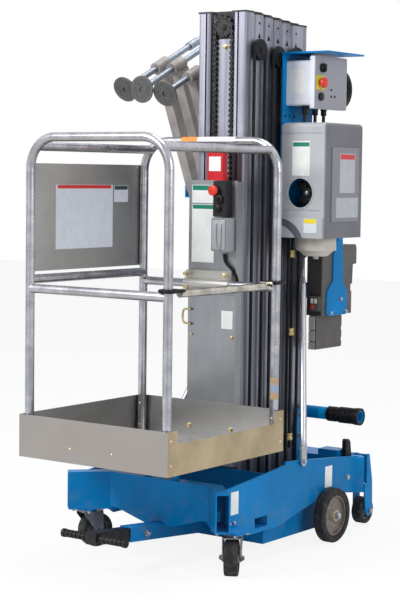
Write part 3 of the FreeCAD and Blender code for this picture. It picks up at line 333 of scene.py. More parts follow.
def block(mesh, low, high, bevel):
    # A box between two corners with rounded edges.
    low, high = Vector(low), Vector(high)
    size = high - low
    made = bmesh.ops.create_cube(mesh, size=1.0, matrix=Matrix.Translation((low + high) / 2)
                                 @ Matrix.Diagonal((size.x, size.y, size.z, 1.0)))
    edges = list({e for v in made["verts"] for e in v.link_edges})
    bmesh.ops.bevel(mesh, geom=edges, offset=bevel, offset_type="OFFSET", segments=2, profile=0.5,
                    affect="EDGES", material=-1)


def hex_bolt(mesh, place, direction, across, head):
    # Washer, hexagon head and a low chamfer.
    place, direction = Vector(place), Vector(direction).normalized()
    disc(mesh, place, direction, across * 0.68, across * 0.14, 20)
    disc(mesh, place + direction * across * 0.14, direction, across * 0.577, head, 6, bevel=across * 0.07)


def rivet(mesh, place, direction, radius):
    # Low domed head.
    flatten = 0.45
    bmesh.ops.create_uvsphere(mesh, u_segments=14, v_segments=8, radius=radius,
                              matrix=stand(place, direction) @ Matrix.Diagonal((1, 1, flatten, 1)))


# Bolts of the base: zinc hexagon heads through the side plates, the caster pads and
# the brackets that hold the mast.
zinc = Finish("zinc_plate", roughness=0.3, metallic=1.0)
speck = zinc.noise(180.0, detail=4.0)
zinc.dress(Base_Color=zinc.mix(speck.ramp(0.35, 0.7), (0.36, 0.375, 0.41), (0.50, 0.52, 0.56)),
           Roughness=0.26 + speck * 0.2)
zinc.bump(speck, 0.00008, 0.4)

beam_face, bracket_face, strap_face = 0.310, 0.112, 0.206
caster_at, caster_pad = 0.326, 0.143
mesh = bmesh.new()
for side in (-1, 1):
    hex_bolt(mesh, (side * beam_face, 0.458, 0.222), (side, 0, 0), 0.017, 0.008)
    for y in (-0.328, -0.300):
        hex_bolt(mesh, (side * beam_face, y, 0.170), (side, 0, 0), 0.011, 0.006)
    for dx in (-0.040, 0.034):
        for dy in (-0.036, 0.036):
            hex_bolt(mesh, (side * (caster_at + dx), dy - caster_at, caster_pad), (0, 0, -1), 0.012, 0.007)
    for z in (0.452, 0.366):
        hex_bolt(mesh, (side * bracket_face, 0.424, z), (side, 0, 0), 0.016, 0.008)
for y, z in ((0.488, 0.844), (0.599, 0.844), (0.560, 0.894)):
    hex_bolt(mesh, (strap_face, y, z), (1, 0, 0), 0.013, 0.006)
solid("base_bolts", mesh, "base", zinc, smooth=28)


# Blank stickers: thin rectangles of vinyl, white or grey, with a plain coloured band
# where the real one has its heading. They carry no words and no signs.
def sticker(name, corner, across, up, body, ground=(0.80, 0.80, 0.78), bands=()):
    # One row of faces for each band, so that the vinyl's own UV map finds the heading.
    corner, across, up = Vector(corner), Vector(across), Vector(up)
    thick = across.cross(up).normalized() * 0.0005
    mesh = bmesh.new()
    rows = sorted({edge for band in bands for edge in band[:2]} | {0.0, 1.0})
    grid = [[mesh.verts.new(corner + across * u + up * v + thick) for u in (0.0, 1.0)] for v in rows]
    layer = mesh.loops.layers.uv.new("vinyl")
    for i in range(len(rows) - 1):
        face = mesh.faces.new((grid[i][0], grid[i][1], grid[i + 1][1], grid[i + 1][0]))
        for loop, uv in zip(face.loops, ((0, rows[i]), (1, rows[i]), (1, rows[i + 1]), (0, rows[i + 1]))):
            loop[layer].uv = uv
    mesh.normal_update()
    wall = bmesh.ops.extrude_face_region(mesh, geom=mesh.faces[:])
    back = [v for v in wall["geom"] if isinstance(v, bmesh.types.BMVert)]
    bmesh.ops.translate(mesh, verts=back, vec=-thick)
    bmesh.ops.recalc_face_normals(mesh, faces=mesh.faces)
    vinyl = Finish(name + "_vinyl", roughness=0.38)
    u = vinyl.node("ShaderNodeSeparateXYZ", None, vinyl.node("ShaderNodeTexCoord", out=2))
    v = Value(vinyl, u.socket.node.outputs[1])
    shade = vinyl.mix(vinyl.noise(30.0).ramp(0.3, 0.8), ground, tuple(c * 0.9 for c in ground))
    for low, high, colour in bands:
        inside = (v > low) * (v < high) * (u > 0.03) * (u < 0.97)
        shade = vinyl.mix(inside, shade, colour)
    vinyl.dress(Base_Color=shade)
    data = bpy.data.meshes.new(name)
    mesh.to_mesh(data)
    mesh.free()
    data.materials.append(vinyl.material)
    obj = bpy.data.objects.new(name, data)
    scene.collection.objects.link(obj)
    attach(obj, body)


red_band, green_band = (0.55, 0.03, 0.03), (0.0, 0.20, 0.12)
yellow_band, black_band = (0.80, 0.62, 0.02), (0.03, 0.05, 0.06)
sticker("beam_sticker_front", (beam_face, -0.318, 0.198), (0, 0.046, 0), (0, 0, 0.080), "base")
sticker("beam_sticker_rear", (beam_face, 0.300, 0.203), (0, 0.050, 0), (0, 0, 0.080), "base")
sticker("beam_sticker_left_front", (-beam_face, -0.272, 0.198), (0, -0.046, 0), (0, 0, 0.080), "base")
sticker("beam_sticker_left_rear", (-beam_face, 0.350, 0.203), (0, -0.050, 0), (0, 0, 0.080), "base")


# Caster forks: pressed zinc steel with a bolted race; the wheels are black rubber on a
# cast core that shows worn and dusty.
fork_zinc = Finish("dull_fork_zinc", roughness=0.42, metallic=1.0)
wear = fork_zinc.noise(26.0, detail=5.0)
fork_zinc.dress(Base_Color=fork_zinc.mix(wear.ramp(0.35, 0.7), (0.12, 0.125, 0.14), (0.27, 0.28, 0.31)),
                Roughness=0.36 + wear * 0.18)
fork_zinc.bump(wear, 0.00008, 0.4)
cover_node("caster_fork_r", fork_zinc)
cover_node("caster_fork_l", fork_zinc)


def wheel_finish(name, centre, axis, tyre_from, core, boss, boss_colour):
    # Rubber outside a radius, painted core inside it, bright boss at the middle.
    tyre = Finish(name, roughness=0.6, gloss=0.2)
    x, y, z = tyre.place()[1:]
    dx, dy, dz = x - centre[0], y - centre[1], z - centre[2]
    along = dx * axis[0] + dy * axis[1] + dz * axis[2]
    radius = (dx * dx + dy * dy + dz * dz - along * along).root()
    rubber = tyre.mix(tyre.noise(45.0, detail=5.0).ramp(0.4, 0.75), (0.016, 0.016, 0.018), (0.050, 0.048, 0.046))
    metal = tyre.mix(tyre.noise(70.0, detail=5.0).ramp(0.3, 0.75), core, tuple(c * 0.6 for c in core))
    ring = (radius * 900.0).sine() * 0.5 + 0.5
    share = radius < tyre_from
    shade = tyre.mix(share, rubber, metal)
    shade = tyre.mix(radius < boss, shade, boss_colour)
    tyre.dress(Base_Color=shade, Roughness=0.66 - share * 0.16, Metallic=share * 0.35)
    tyre.bump(tyre.noise(240.0) + ring * share * 0.4, 0.0002, 0.6)
    return tyre


trail, caster_radius = 0.035, 0.0625
for side, mark, heading in ((1, "r", -60.0), (-1, "l", 70.0)):
    a = radians(heading)
    middle = (side * caster_at + trail * cos(a), trail * sin(a) - caster_at, caster_radius)
    cover_node("caster_wheel_" + mark, wheel_finish("caster_rubber_" + mark, middle, (-sin(a), cos(a), 0), 0.0435,
                                                    (0.12, 0.12, 0.125), 0.0155, (0.30, 0.31, 0.33)))


# Main wheels and small tilt wheels: solid grey-black tyres on grey-brown cores with
# bright hub nuts; stub axles are zinc.
main_hub, tilt_hub = (0, 0.312, 0.102), (0, 0.649, 0.060)
cover_node("rear_axles", zinc)
for mark in "rl":
    cover_node("main_wheel_" + mark, wheel_finish("main_rubber_" + mark, main_hub, (1, 0, 0), 0.0755,
                                                  (0.25, 0.215, 0.19), 0.0205, (0.50, 0.44, 0.33)))
    cover_node("tilt_wheel_" + mark, wheel_finish("tilt_rubber_" + mark, tilt_hub, (1, 0, 0), 0.0355,
                                                  (0.16, 0.15, 0.14), 0.0145, (0.40, 0.40, 0.40)))
mesh = bmesh.new()
for side in (-1, 1):
    hex_bolt(mesh, (side * 0.3633, *main_hub[1:]), (side, 0, 0), 0.019, 0.005)
    hex_bolt(mesh, (side * 0.309, *tilt_hub[1:]), (side, 0, 0), 0.014, 0.004)
solid("axle_nuts", mesh, "base", zinc, smooth=28)


# Tow handle: square bar that slides in the blue sleeve, with a black cross bar and
# ringed rubber grips; a zinc pin with a ring locks it.
black = Finish("black_paint", roughness=0.42, gloss=0.25)
dirt = black.noise(40.0, detail=5.0)
black.dress(Base_Color=black.mix(dirt.ramp(0.4, 0.8), (0.008, 0.008, 0.009), (0.032, 0.030, 0.027)),
            Roughness=0.36 + dirt * 0.22)
black.bump(black.noise(500.0), 0.0001, 0.4)
cover_node("tow_handle", black)
mouth_y, mouth_z, pin_back, slope = -0.510, 0.124, 0.084, radians(5.0)
pin_at = Vector((0, mouth_y + pin_back * cos(slope), mouth_z - pin_back * sin(slope)))
ring_at, ring_radius, ring_wire = pin_at + Vector((0.043, 0, 0)), 0.013, 0.0016
mesh = bmesh.new()
disc(mesh, pin_at + Vector((0.026, 0, 0)), (1, 0, 0), 0.0062, 0.018, 18, bevel=0.001)
disc(mesh, pin_at + Vector((-0.036, 0, 0)), (1, 0, 0), 0.0052, 0.010, 18)
disc(mesh, pin_at + Vector((0.026, 0, 0)), (1, 0, 0), 0.011, 0.003, 18)
wire = bmesh.ops.create_circle(mesh, cap_ends=False, segments=10, radius=ring_wire,
                               matrix=Matrix.Translation(ring_at + Vector((0, ring_radius, 0)))
                               @ Matrix.Rotation(radians(90), 4, "X"))
bmesh.ops.spin(mesh, geom=list({e for v in wire["verts"] for e in v.link_edges}) + wire["verts"],
               cent=ring_at, axis=(1, 0, 0), angle=2 * pi, steps=28, use_merge=True)
solid("handle_pin", mesh, "base", zinc)


# Mast: six drawn aluminium columns, anodised to a bluish grey with long draw marks,
# under black plastic caps; the inner faces between the columns carry a painted shade.
column_front, column_pitch, column_top, column_drop = 0.030, 0.062, 1.959, 0.005


def column_finish(number):
    draw = Finish("anodised_column_%d" % number, roughness=0.34, metallic=0.9)
    x, y, z = draw.place()[1:]
    top = column_top - column_drop * (number - 1)
    front = column_front + column_pitch * (number - 1)
    lines = draw.noise(260.0, stretch=(1, 1, 0.006), detail=2.0)
    broad = draw.noise(34.0, stretch=(1, 1, 0.02), detail=3.0)
    bloom = draw.noise(7.0, detail=4.0)
    shade = draw.mix(broad.ramp(0.3, 0.7), (0.17, 0.17, 0.215), (0.37, 0.375, 0.44))
    shade = draw.mix(lines.ramp(0.52, 0.70) * 0.5, shade, (0.10, 0.10, 0.13))
    shade = draw.mix(bloom.ramp(0.5, 0.75) * 0.35, shade, (0.52, 0.53, 0.57))
    # painted shade: the inner faces between the columns, deep behind the front, are darkened
    deep = (y - front).ramp(0.010, 0.030) * (0.094 - abs(x)).ramp(0.0, 0.004)
    shade = draw.mix(deep * 0.75, shade, (0.05, 0.05, 0.06))
    pocket = (abs(x) < 0.0435) * (z > top - 0.0945) * (y > front + 0.0181) * (y < front + 0.0245)
    cap = z > top + 0.0002
    plastic = cap.math("MAXIMUM", cap, pocket)
    shade = draw.mix(plastic, shade, (0.012, 0.012, 0.013))
    draw.dress(Base_Color=shade, Metallic=0.92 - plastic * 0.92, Roughness=0.30 + broad * 0.2 + plastic * 0.2)
    draw.bump(lines * 0.6 + broad * 0.4, 0.00015, 0.45)
    return draw


for number in range(1, 7):
    cover_node("column_%d" % number, column_finish(number))


# Wear blocks: black nylon pads, cut from bar and screwed into the tops of the rear
# columns, where they stand a little above the caps.
nylon = Finish("black_nylon", roughness=0.5, gloss=0.12)
grit = nylon.noise(140.0, detail=4.0)
nylon.dress(Base_Color=nylon.mix(grit.ramp(0.35, 0.75), (0.005, 0.005, 0.006), (0.020, 0.020, 0.020)),
            Roughness=0.44 + grit * 0.2)
for number in range(2, 7):
    cap_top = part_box("column_%d" % number)[1][2]
    front = column_front + column_pitch * (number - 1)
    mesh = bmesh.new()
    for side in (-1, 1):
        low, high = sorted((side * 0.072, side * 0.101))
        block(mesh, (low, front + 0.008, cap_top - 0.0003), (high, front + 0.050, cap_top + 0.0045), 0.0012)
        block(mesh, (side * 0.046 - 0.011, front + 0.012, cap_top - 0.0003),
              (side * 0.046 + 0.011, front + 0.034, cap_top + 0.0030), 0.0010)
    solid("wear_blocks_%d" % number, mesh, "base" if number == 6 else "stage_%d" % number, nylon)


# Lift chain: roller chain in oil-dark steel that runs over a black sprocket at the top
# of the front column; a brass bolt anchors its end.
chain = Finish("oiled_chain", roughness=0.3, metallic=0.9)
oil = chain.noise(300.0, detail=4.0)
chain.dress(Base_Color=chain.mix(oil.ramp(0.35, 0.7), (0.008, 0.008, 0.009), (0.075, 0.073, 0.072)),
            Roughness=0.26 + oil * 0.25)
cover_node("lift_chain", chain)
brass = Finish("brass", roughness=0.3, metallic=1.0)
tone = brass.noise(120.0, detail=4.0)
brass.dress(Base_Color=brass.mix(tone.ramp(0.3, 0.7), (0.52, 0.38, 0.13), (0.74, 0.60, 0.30)),
            Roughness=0.22 + tone * 0.2)
mesh = bmesh.new()
hex_bolt(mesh, (0.004, 0.048, 1.837), (0, -1, 0), 0.013, 0.008)
solid("chain_anchor_bolt", mesh, "stage_1", brass, smooth=28)


# Hose sheaves on the right of the mast: black nylon wheels and black rubber hoses with
# a soft gloss, which run down behind the cover. The pedals and grips have this rubber too.
rubber = Finish("hose_rubber", roughness=0.36, gloss=0.12)
grain = rubber.noise(90.0, detail=4.0)
rubber.dress(Base_Color=rubber.mix(grain.ramp(0.35, 0.75), (0.006, 0.006, 0.007), (0.022, 0.022, 0.024)),
             Roughness=0.26 + grain * 0.28)
rubber.bump(rubber.noise(700.0), 0.00008, 0.5)
for name in ("hoses_2", "hoses_4", "hoses_6", "brake_pedals", "push_sleeves"):
    cover_node(name, rubber)


# Carriage plate and its T rails: brushed aluminium sheet and bar in front of the mast,
# with the cast saddle, its yellow zinc bolts and three blank stickers.
def sheet_metal(name, along, tint, rough, warm_reflection=False):
    # along is the axis of the brush marks: 0 for x, 2 for z
    sheet = Finish(name, roughness=rough, metallic=0.95)
    stretch = tuple(0.012 if axis == along else 1.0 for axis in range(3))
    lines = sheet.noise(420.0, stretch=stretch, detail=2.0)
    cloud = sheet.noise(6.0, detail=5.0)
    scuff = sheet.noise(38.0, detail=6.0, rough=0.7).ramp(0.62, 0.78)
    shade = sheet.mix(cloud.ramp(0.3, 0.7), tuple(c * 0.84 for c in tint), tint)
    shade = sheet.mix(lines.ramp(0.45, 0.7) * 0.35, shade, tuple(c * 0.7 for c in tint))
    shade = sheet.mix(scuff * 0.22, shade, (0.62, 0.62, 0.62))
    if warm_reflection:
        # painted warm reflection of a sandy ground: strong on the entry side, a little less on the front
        x, y = sheet.place()[1:3]
        side_from, front_to, front_sand_reflection = 0.3222, -0.6985, (0.31, 0.275, 0.25)
        sand_reflection = sheet.mix(cloud.ramp(0.3, 0.7), (0.36, 0.275, 0.155), (0.50, 0.395, 0.24))
        shade = sheet.mix((x > side_from) * 0.9, shade, sand_reflection)
        shade = sheet.mix((y < front_to) * (x < side_from) * 0.7, shade, front_sand_reflection)
    sheet.dress(Base_Color=shade, Roughness=rough - 0.06 + lines * 0.14 + scuff * 0.12)
    sheet.bump(lines, 0.00012, 0.4)
    return sheet


cover_node("carriage", sheet_metal("carriage_sheet", 2, (0.34, 0.35, 0.37), 0.38))
cover_node("saddle", sheet_metal("saddle_casting", 0, (0.50, 0.49, 0.46), 0.42))
gold = Finish("yellow_zinc", roughness=0.32, metallic=1.0)
tone = gold.noise(160.0, detail=4.0)
gold.dress(Base_Color=gold.mix(tone.ramp(0.3, 0.7), (0.42, 0.33, 0.16), (0.70, 0.60, 0.38)),
           Roughness=0.26 + tone * 0.22)
saddle_face, plate_face = -0.0562, -0.0137
mesh = bmesh.new()
for x in (-0.086, 0.086):
    hex_bolt(mesh, (x, saddle_face, 1.006), (0, -1, 0), 0.015, 0.008)
    hex_bolt(mesh, (x, saddle_face, 0.952), (0, -1, 0), 0.015, 0.008)
for x, z in ((0.092, 0.778), (-0.088, 0.780)):
    hex_bolt(mesh, (x, -0.0140, z), (0, -1, 0), 0.010, 0.004)
solid("saddle_bolts", mesh, "platform", gold, smooth=28)
sticker("carriage_sticker_top", (-0.094, plate_face, 1.266), (0.098, 0, 0), (0, 0, 0.066), "platform",
        bands=((0.70, 0.97, green_band),))
sticker("carriage_sticker_long", (-0.093, plate_face, 1.048), (0.100, 0, 0), (0, 0, 0.213), "platform",
        bands=((0.92, 0.99, green_band),))
sticker("carriage_sticker_small", (0.045, plate_face, 0.808), (0.050, 0, 0), (0, 0, 0.066), "platform")


# Lanyard ring: a bent steel eye with a yellow zinc coat, whose two ends are bolted to
# the left edge of the carriage plate.
def bent_rod(name, path, radius, finish, body, roundness=4, capped=False):
    # Round bar or hose along one smooth curve that follows a row of points.
    data = bpy.data.curves.new(name, "CURVE")
    data.dimensions = "3D"
    spline = data.splines.new("NURBS")
    spline.points.add(len(path) - 1)
    for point, spot in zip(spline.points, path):
        point.co = (*spot, 1.0)
    spline.order_u = 3
    spline.use_endpoint_u = True
    data.bevel_depth = radius
    data.bevel_resolution = roundness
    data.use_fill_caps = capped
    data.materials.append(finish.material)
    obj = bpy.data.objects.new(name, data)
    scene.collection.objects.link(obj)
    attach(obj, body)
    return obj


ring_y = -0.0185
bent_rod("lanyard_ring", [(-0.088, ring_y, 0.872), (-0.104, ring_y, 0.872), (-0.124, ring_y, 0.871),
                          (-0.129, ring_y, 0.845), (-0.124, ring_y, 0.819), (-0.104, ring_y, 0.818),
                          (-0.088, ring_y, 0.818)], 0.0042, gold, "platform")


# Control cable: a short black cable with a rubber jacket, which leaves the foot of the
# outlet box, sags to the right and goes back into the mast behind the carriage plate.
route = [(0.060, -0.0205, 1.082), (0.061, -0.0225, 1.066), (0.070, -0.0245, 1.049), (0.090, -0.0240, 1.033),
         (0.104, -0.0200, 1.018), (0.112, -0.0130, 0.998), (0.113, -0.0080, 0.972)]
control_cable = bent_rod("control_cable", route, 0.0055, rubber, "platform", capped=True)


# Platform tray: folded aluminium sheet with a mill finish, riveted to the cage posts
# and bolted through the floor; the entry side has a cut for the step.
cover_node("tray", sheet_metal("tray_sheet", 0, (0.45, 0.445, 0.44), 0.34, warm_reflection=True))
tray_side, tray_front, tray_floor, tray_back, post_x = 0.3235, -0.700, 0.4000, -0.0170, 0.2985
mesh = bmesh.new()
for y, z in ((-0.684, 0.502), (-0.682, 0.421), (-0.034, 0.502), (-0.033, 0.420)):
    for side in (1, -1):
        rivet(mesh, (side * tray_side, y, z), (side, 0, 0), 0.0055)
for x in (-0.094, 0.089):
    rivet(mesh, (x, tray_front, 0.435), (0, -1, 0), 0.0050)
for x, y in ((-0.246, -0.100), (-0.246, -0.560), (0.200, -0.560), (0.200, -0.100)):
    hex_bolt(mesh, (x, y, tray_floor), (0, 0, 1), 0.015, 0.006)
for x in (-0.093, 0.093):
    hex_bolt(mesh, (x, tray_back, 0.438), (0, -1, 0), 0.015, 0.006)
for side in (-1, 1):
    for z in (0.425, 0.505):
        rivet(mesh, (side * post_x, -0.0545, z), (0, -1, 0), 0.0050)
solid("tray_fasteners", mesh, "platform", gold, smooth=28)


# Cage: two bent hoops and cross rails of polished aluminium tube, scuffed by hands and
# clamps; one rail carries a blank strip and the right rear post a tape band.
def tube_finish(name, marks=False):
    tube = Finish(name, roughness=0.24, metallic=1.0)
    x, y, z = tube.place()[1:]
    cloud = tube.noise(16.0, detail=5.0)
    scuff = tube.noise(55.0, detail=6.0, rough=0.75).ramp(0.56, 0.74)
    fine = tube.noise(300.0, detail=2.0)
    shade = tube.mix(cloud.ramp(0.3, 0.7), (0.35, 0.355, 0.39), (0.52, 0.525, 0.56))
    shade = tube.mix(scuff * 0.3, shade, (0.76, 0.76, 0.77))
    # painted shade with a warm reflection of the ground on the undersides of the tubes
    facing = tube.node("ShaderNodeSeparateXYZ", None, tube.node("ShaderNodeTexCoord", out=1))
    under = Value(tube, facing.socket.node.outputs[2]).ramp(0.1, -0.8)
    shade = tube.mix(under * 0.7, shade, (0.25, 0.22, 0.19))
    rough = 0.19 + cloud * 0.14 + scuff * 0.16
    if marks:
        on_rail = (z > 1.4895) * (y > -0.062)
        orange = on_rail * (x > -0.118) * (x < -0.046)
        plain = on_rail * (x > -0.046) * (x < 0.120)
        post = (x > 0.27) * (y > -0.062)
        tan = post * (z > 0.573) * (z < 0.651)
        blue_tape = post * (z > 0.598) * (z < 0.626)
        shade = tube.mix(orange, shade, (0.85, 0.28, 0.05))
        shade = tube.mix(plain, shade, (0.80, 0.80, 0.80))
        shade = tube.mix(tan, shade, (0.42, 0.29, 0.17))
        shade = tube.mix(blue_tape, shade, (0.28, 0.34, 0.46))
        painted = orange + plain + tan
        painted = painted.math("MINIMUM", painted, 1.0)
        tube.dress(Metallic=1.0 - painted, Roughness=rough + painted * 0.25)
    else:
        tube.dress(Roughness=rough)
    tube.dress(Base_Color=shade)
    tube.bump(fine + scuff, 0.00008, 0.4)
    return tube


cover_node("cage_hoops", tube_finish("polished_hoops", marks=True))
cover_node("cage_rails", tube_finish("polished_rails"))


# Entry gate: an aluminium tube that slides up the two right posts on steel loops, which
# are dipped in black plastic.
gate = Finish("gate_finish", roughness=0.25, metallic=1.0)
y = gate.place()[2]
gate_middle, tube_half = -0.357, 0.2562
ends = abs(y - gate_middle) > tube_half
cloud = gate.noise(18.0, detail=5.0)
gate.dress(Base_Color=gate.mix(ends, gate.mix(cloud.ramp(0.3, 0.7), (0.36, 0.335, 0.29), (0.62, 0.59, 0.53)),
                               (0.006, 0.006, 0.007)),
           Metallic=1.0 - ends, Roughness=0.2 + cloud * 0.12 + ends * 0.15)
cover_node("entry_gate", gate)


# Loop sleeves: rubber tube pushed over each loop of the gate round its post, which makes
# the loop thick and soft to the hand.
gate_height, wide = 0.9912, 0.0240
for end, y_post, y_bar in (("front", -0.675, -0.629), ("rear", -0.039, -0.085)):
    away = wide if y_bar > y_post else -wide
    plan = [(-wide, y_bar), (-wide, y_post), (-wide * 0.92, y_post - away * 0.72), (-wide * 0.5, y_post - away),
            (wide * 0.5, y_post - away), (wide * 0.92, y_post - away * 0.72), (wide, y_post), (wide, y_bar)]
    bent_rod("gate_loop_" + end, [(post_x + x, y, gate_height) for x, y in plan], 0.0070, rubber, "gate",
             capped=True)


# Sign panel: bare stainless sheet, screwed to the left of the cage as a board for two
# stickers, which are blank here.
panel_face = -0.3145
cover_node("sign_panel", sheet_metal("panel_sheet", 2, (0.44, 0.44, 0.42), 0.42))
sticker("panel_sticker_large", (panel_face, -0.206, 1.100), (0, -0.318, 0), (0, 0, 0.228), "platform",
        ground=(0.60, 0.62, 0.68), bands=((0.94, 0.995, red_band),))
sticker("panel_sticker_small", (panel_face, -0.117, 1.265), (0, -0.082, 0), (0, 0, 0.060), "platform",
        ground=(0.62, 0.64, 0.70), bands=((0.75, 0.98, black_band),))


# Document box: a red moulded plastic case that stands on the top of the carriage plate,
# with a blank white label on its front.
def plastic(name, colour, rough):
    moulded = Finish(name, roughness=rough, gloss=0.3)
    cloud = moulded.noise(12.0, detail=4.0)
    shade = moulded.mix(cloud.ramp(0.3, 0.7), tuple(c * 0.9 for c in colour), tuple(c * 1.08 for c in colour))
    moulded.dress(Base_Color=shade, Roughness=rough - 0.06 + cloud * 0.12)
    moulded.bump(moulded.noise(600.0, detail=2.0), 0.0001, 0.5)
    return moulded


cover_node("document_box", plastic("red_plastic", (0.50, 0.012, 0.018), 0.36))
sticker("document_label", (0.014, -0.0602, 1.383), (0.052, 0, 0), (0, 0, 0.052), "platform")


# Platform control box: black housing with a red stop button, a rotary switch and a
# push button; the grey outlet box below it has a hinged lid held by a wire bail.
cover_node("platform_control_box", plastic("black_housing", (0.012, 0.012, 0.015), 0.42))
cover_node("outlet_box", plastic("grey_outlet", (0.30, 0.31, 0.33), 0.36))
red_button = plastic("red_button", (0.60, 0.040, 0.025), 0.34)
control_face, lid_front, bail_y = -0.0555, -0.0680, -0.0715
mesh = bmesh.new()
disc(mesh, (0.042, control_face, 1.313), (0, -1, 0), 0.010, 0.014, 24)
disc(mesh, (0.042, -0.0690, 1.313), (0, -1, 0), 0.019, 0.012, 32, bevel=0.004)
solid("platform_stop", mesh, "platform", red_button)
control_black = plastic("control_black", (0.006, 0.006, 0.007), 0.34)
mesh = bmesh.new()
disc(mesh, (0.062, control_face, 1.282), (0, -1, 0), 0.015, 0.013, 28, bevel=0.002)
block(mesh, (0.058, -0.0760, 1.270), (0.066, -0.0680, 1.294), 0.002)
disc(mesh, (0.056, control_face, 1.249), (0, -1, 0), 0.013, 0.010, 28, bevel=0.002)
disc(mesh, (0.056, -0.0650, 1.249), (0, -1, 0), 0.009, 0.005, 28, bevel=0.001)
solid("platform_switches", mesh, "platform", control_black)
mesh = bmesh.new()
block(mesh, (0.034, lid_front, 1.098), (0.094, -0.0635, 1.209), 0.004)
solid("outlet_lid", mesh, "platform", plastic("grey_outlet_lid", (0.34, 0.35, 0.37), 0.33))
bent_rod("outlet_bail", [(0.056, -0.0640, 1.203), (0.056, -0.0720, 1.200), (0.056, bail_y, 1.150),
                         (0.057, bail_y, 1.104), (0.067, bail_y, 1.098), (0.077, bail_y, 1.104),
                         (0.078, bail_y, 1.150), (0.078, -0.0720, 1.200), (0.078, -0.0640, 1.203)],
         0.0018, zinc, "platform", roundness=3)


# Mast braces and ground control box: zinc tubes with flattened ends, and a light grey
# moulded box with knobs, a stop button and cable glands on its control face, which is painted darker as shade.
cover_node("mast_braces", zinc)
box_grey = Finish("light_grey_housing", roughness=0.42, gloss=0.3)
x, y, z = box_grey.place()[1:]
cloud = box_grey.noise(12.0, detail=4.0)
shade = box_grey.mix(cloud.ramp(0.3, 0.7), (0.66, 0.68, 0.73), (0.74, 0.76, 0.81))
# painted shade: the control face on the box's side, beyond x = 0.263, is darker
shade = box_grey.mix(x.ramp(0.2630, 0.2662), shade, (0.30, 0.295, 0.325))
box_grey.dress(Base_Color=shade, Roughness=0.36 + cloud * 0.12)
box_grey.bump(box_grey.noise(600.0), 0.0001, 0.5)
cover_node("ground_box", box_grey)
box_face = 0.268
mesh = bmesh.new()
for y in (0.212, 0.460):
    for z in (1.795, 1.627):
        disc(mesh, (box_face, y, z), (1, 0, 0), 0.0042, 0.0016, 16, bevel=0.0006)
solid("ground_box_screws", mesh, "base", zinc)
sticker("ground_label", (0.152, 0.2548, 1.676), (0.062, 0, 0), (0, 0, 0.084), "base")
mesh = bmesh.new()
disc(mesh, (box_face, 0.282, 1.713), (1, 0, 0), 0.009, 0.014, 24)
disc(mesh, (0.281, 0.282, 1.713), (1, 0, 0), 0.019, 0.012, 32, bevel=0.004)
solid("ground_stop", mesh, "base", red_button)
mesh = bmesh.new()
block(mesh, (0.2678, 0.254, 1.687), (0.2692, 0.312, 1.740), 0.0004)
solid("ground_stop_plate", mesh, "base", plastic("yellow_plate", (0.62, 0.50, 0.03), 0.4))
mesh = bmesh.new()
disc(mesh, (box_face, 0.294, 1.768), (1, 0, 0), 0.017, 0.012, 28, bevel=0.002)
block(mesh, (0.2795, 0.290, 1.754), (0.2885, 0.298, 1.782), 0.002)
disc(mesh, (box_face, 0.285, 1.662), (1, 0, 0), 0.015, 0.010, 28, bevel=0.002)
for y, z in ((0.360, 1.665), (0.385, 1.665), (0.360, 1.690)):
    disc(mesh, (box_face, y, z), (1, 0, 0), 0.004, 0.003, 14)
solid("ground_switches", mesh, "base", control_black)
gland_x = 0.200
mesh = bmesh.new()
for y in (0.290, 0.360, 0.420):
    disc(mesh, (gland_x, y, 1.630), (0, 0, -1), 0.013, 0.014, 6)
    disc(mesh, (gland_x, y, 1.616), (0, 0, -1), 0.011, 0.020, 20, bevel=0.003)
    disc(mesh, (gland_x, y, 1.597), (0, 0, -1), 0.0065, 0.036, 16)
solid("cable_glands", mesh, "base", control_black)


# Pump unit: a black motor over a cream plastic oil tank under the cover; its start relay
# and terminals show through the round hole.
tank = Finish("pump_finish", roughness=0.38, gloss=0.35)
z = tank.place()[3]
cloud = tank.noise(12.0, detail=4.0)
motor_from = 1.1665
motor = z > motor_from
shade = tank.mix(cloud.ramp(0.3, 0.7), (0.45, 0.41, 0.37), (0.54, 0.495, 0.45))
tank.dress(Base_Color=tank.mix(motor, shade, (0.012, 0.012, 0.014)), Roughness=0.32 + cloud * 0.12)
tank.bump(tank.noise(500.0), 0.0001, 0.5)
cover_node("pump_unit", tank)
mesh = bmesh.new()
block(mesh, (0.176, 0.286, 1.318), (0.214, 0.318, 1.350), 0.003)
block(mesh, (0.186, 0.284, 1.262), (0.244, 0.293, 1.292), 0.002)
disc(mesh, (0.219, 0.2915, 1.306), (0, -1, 0), 0.020, 0.010, 24, bevel=0.002)
disc(mesh, (0.236, 0.2915, 1.306), (0, -1, 0), 0.0042, 0.020, 14, bevel=0.001)
solid("motor_relay", mesh, "base", black)
mesh = bmesh.new()
hex_bolt(mesh, (0.219, 0.2815, 1.306), (0, -1, 0), 0.012, 0.006)
disc(mesh, (0.226, 0.290, 1.262), (0, 0, -1), 0.005, 0.012, 16, bevel=0.001)
solid("relay_posts", mesh, "base", zinc, smooth=28)


# Line fittings: brass unions, a nut, a neck and a second nut each, on the black pressure
# line that runs down the mast.
line_x, line_y = 0.118, 0.345
mesh = bmesh.new()
for z in (1.073, 0.776, 0.372):
    disc(mesh, (line_x, line_y, z - 0.013), (0, 0, 1), 0.0125, 0.012, 6, bevel=0.0012)
    disc(mesh, (line_x, line_y, z - 0.001), (0, 0, 1), 0.0092, 0.005, 20)
    disc(mesh, (line_x, line_y, z + 0.004), (0, 0, 1), 0.0115, 0.010, 6, bevel=0.0012)
solid("line_fittings", mesh, "base", brass, smooth=28)


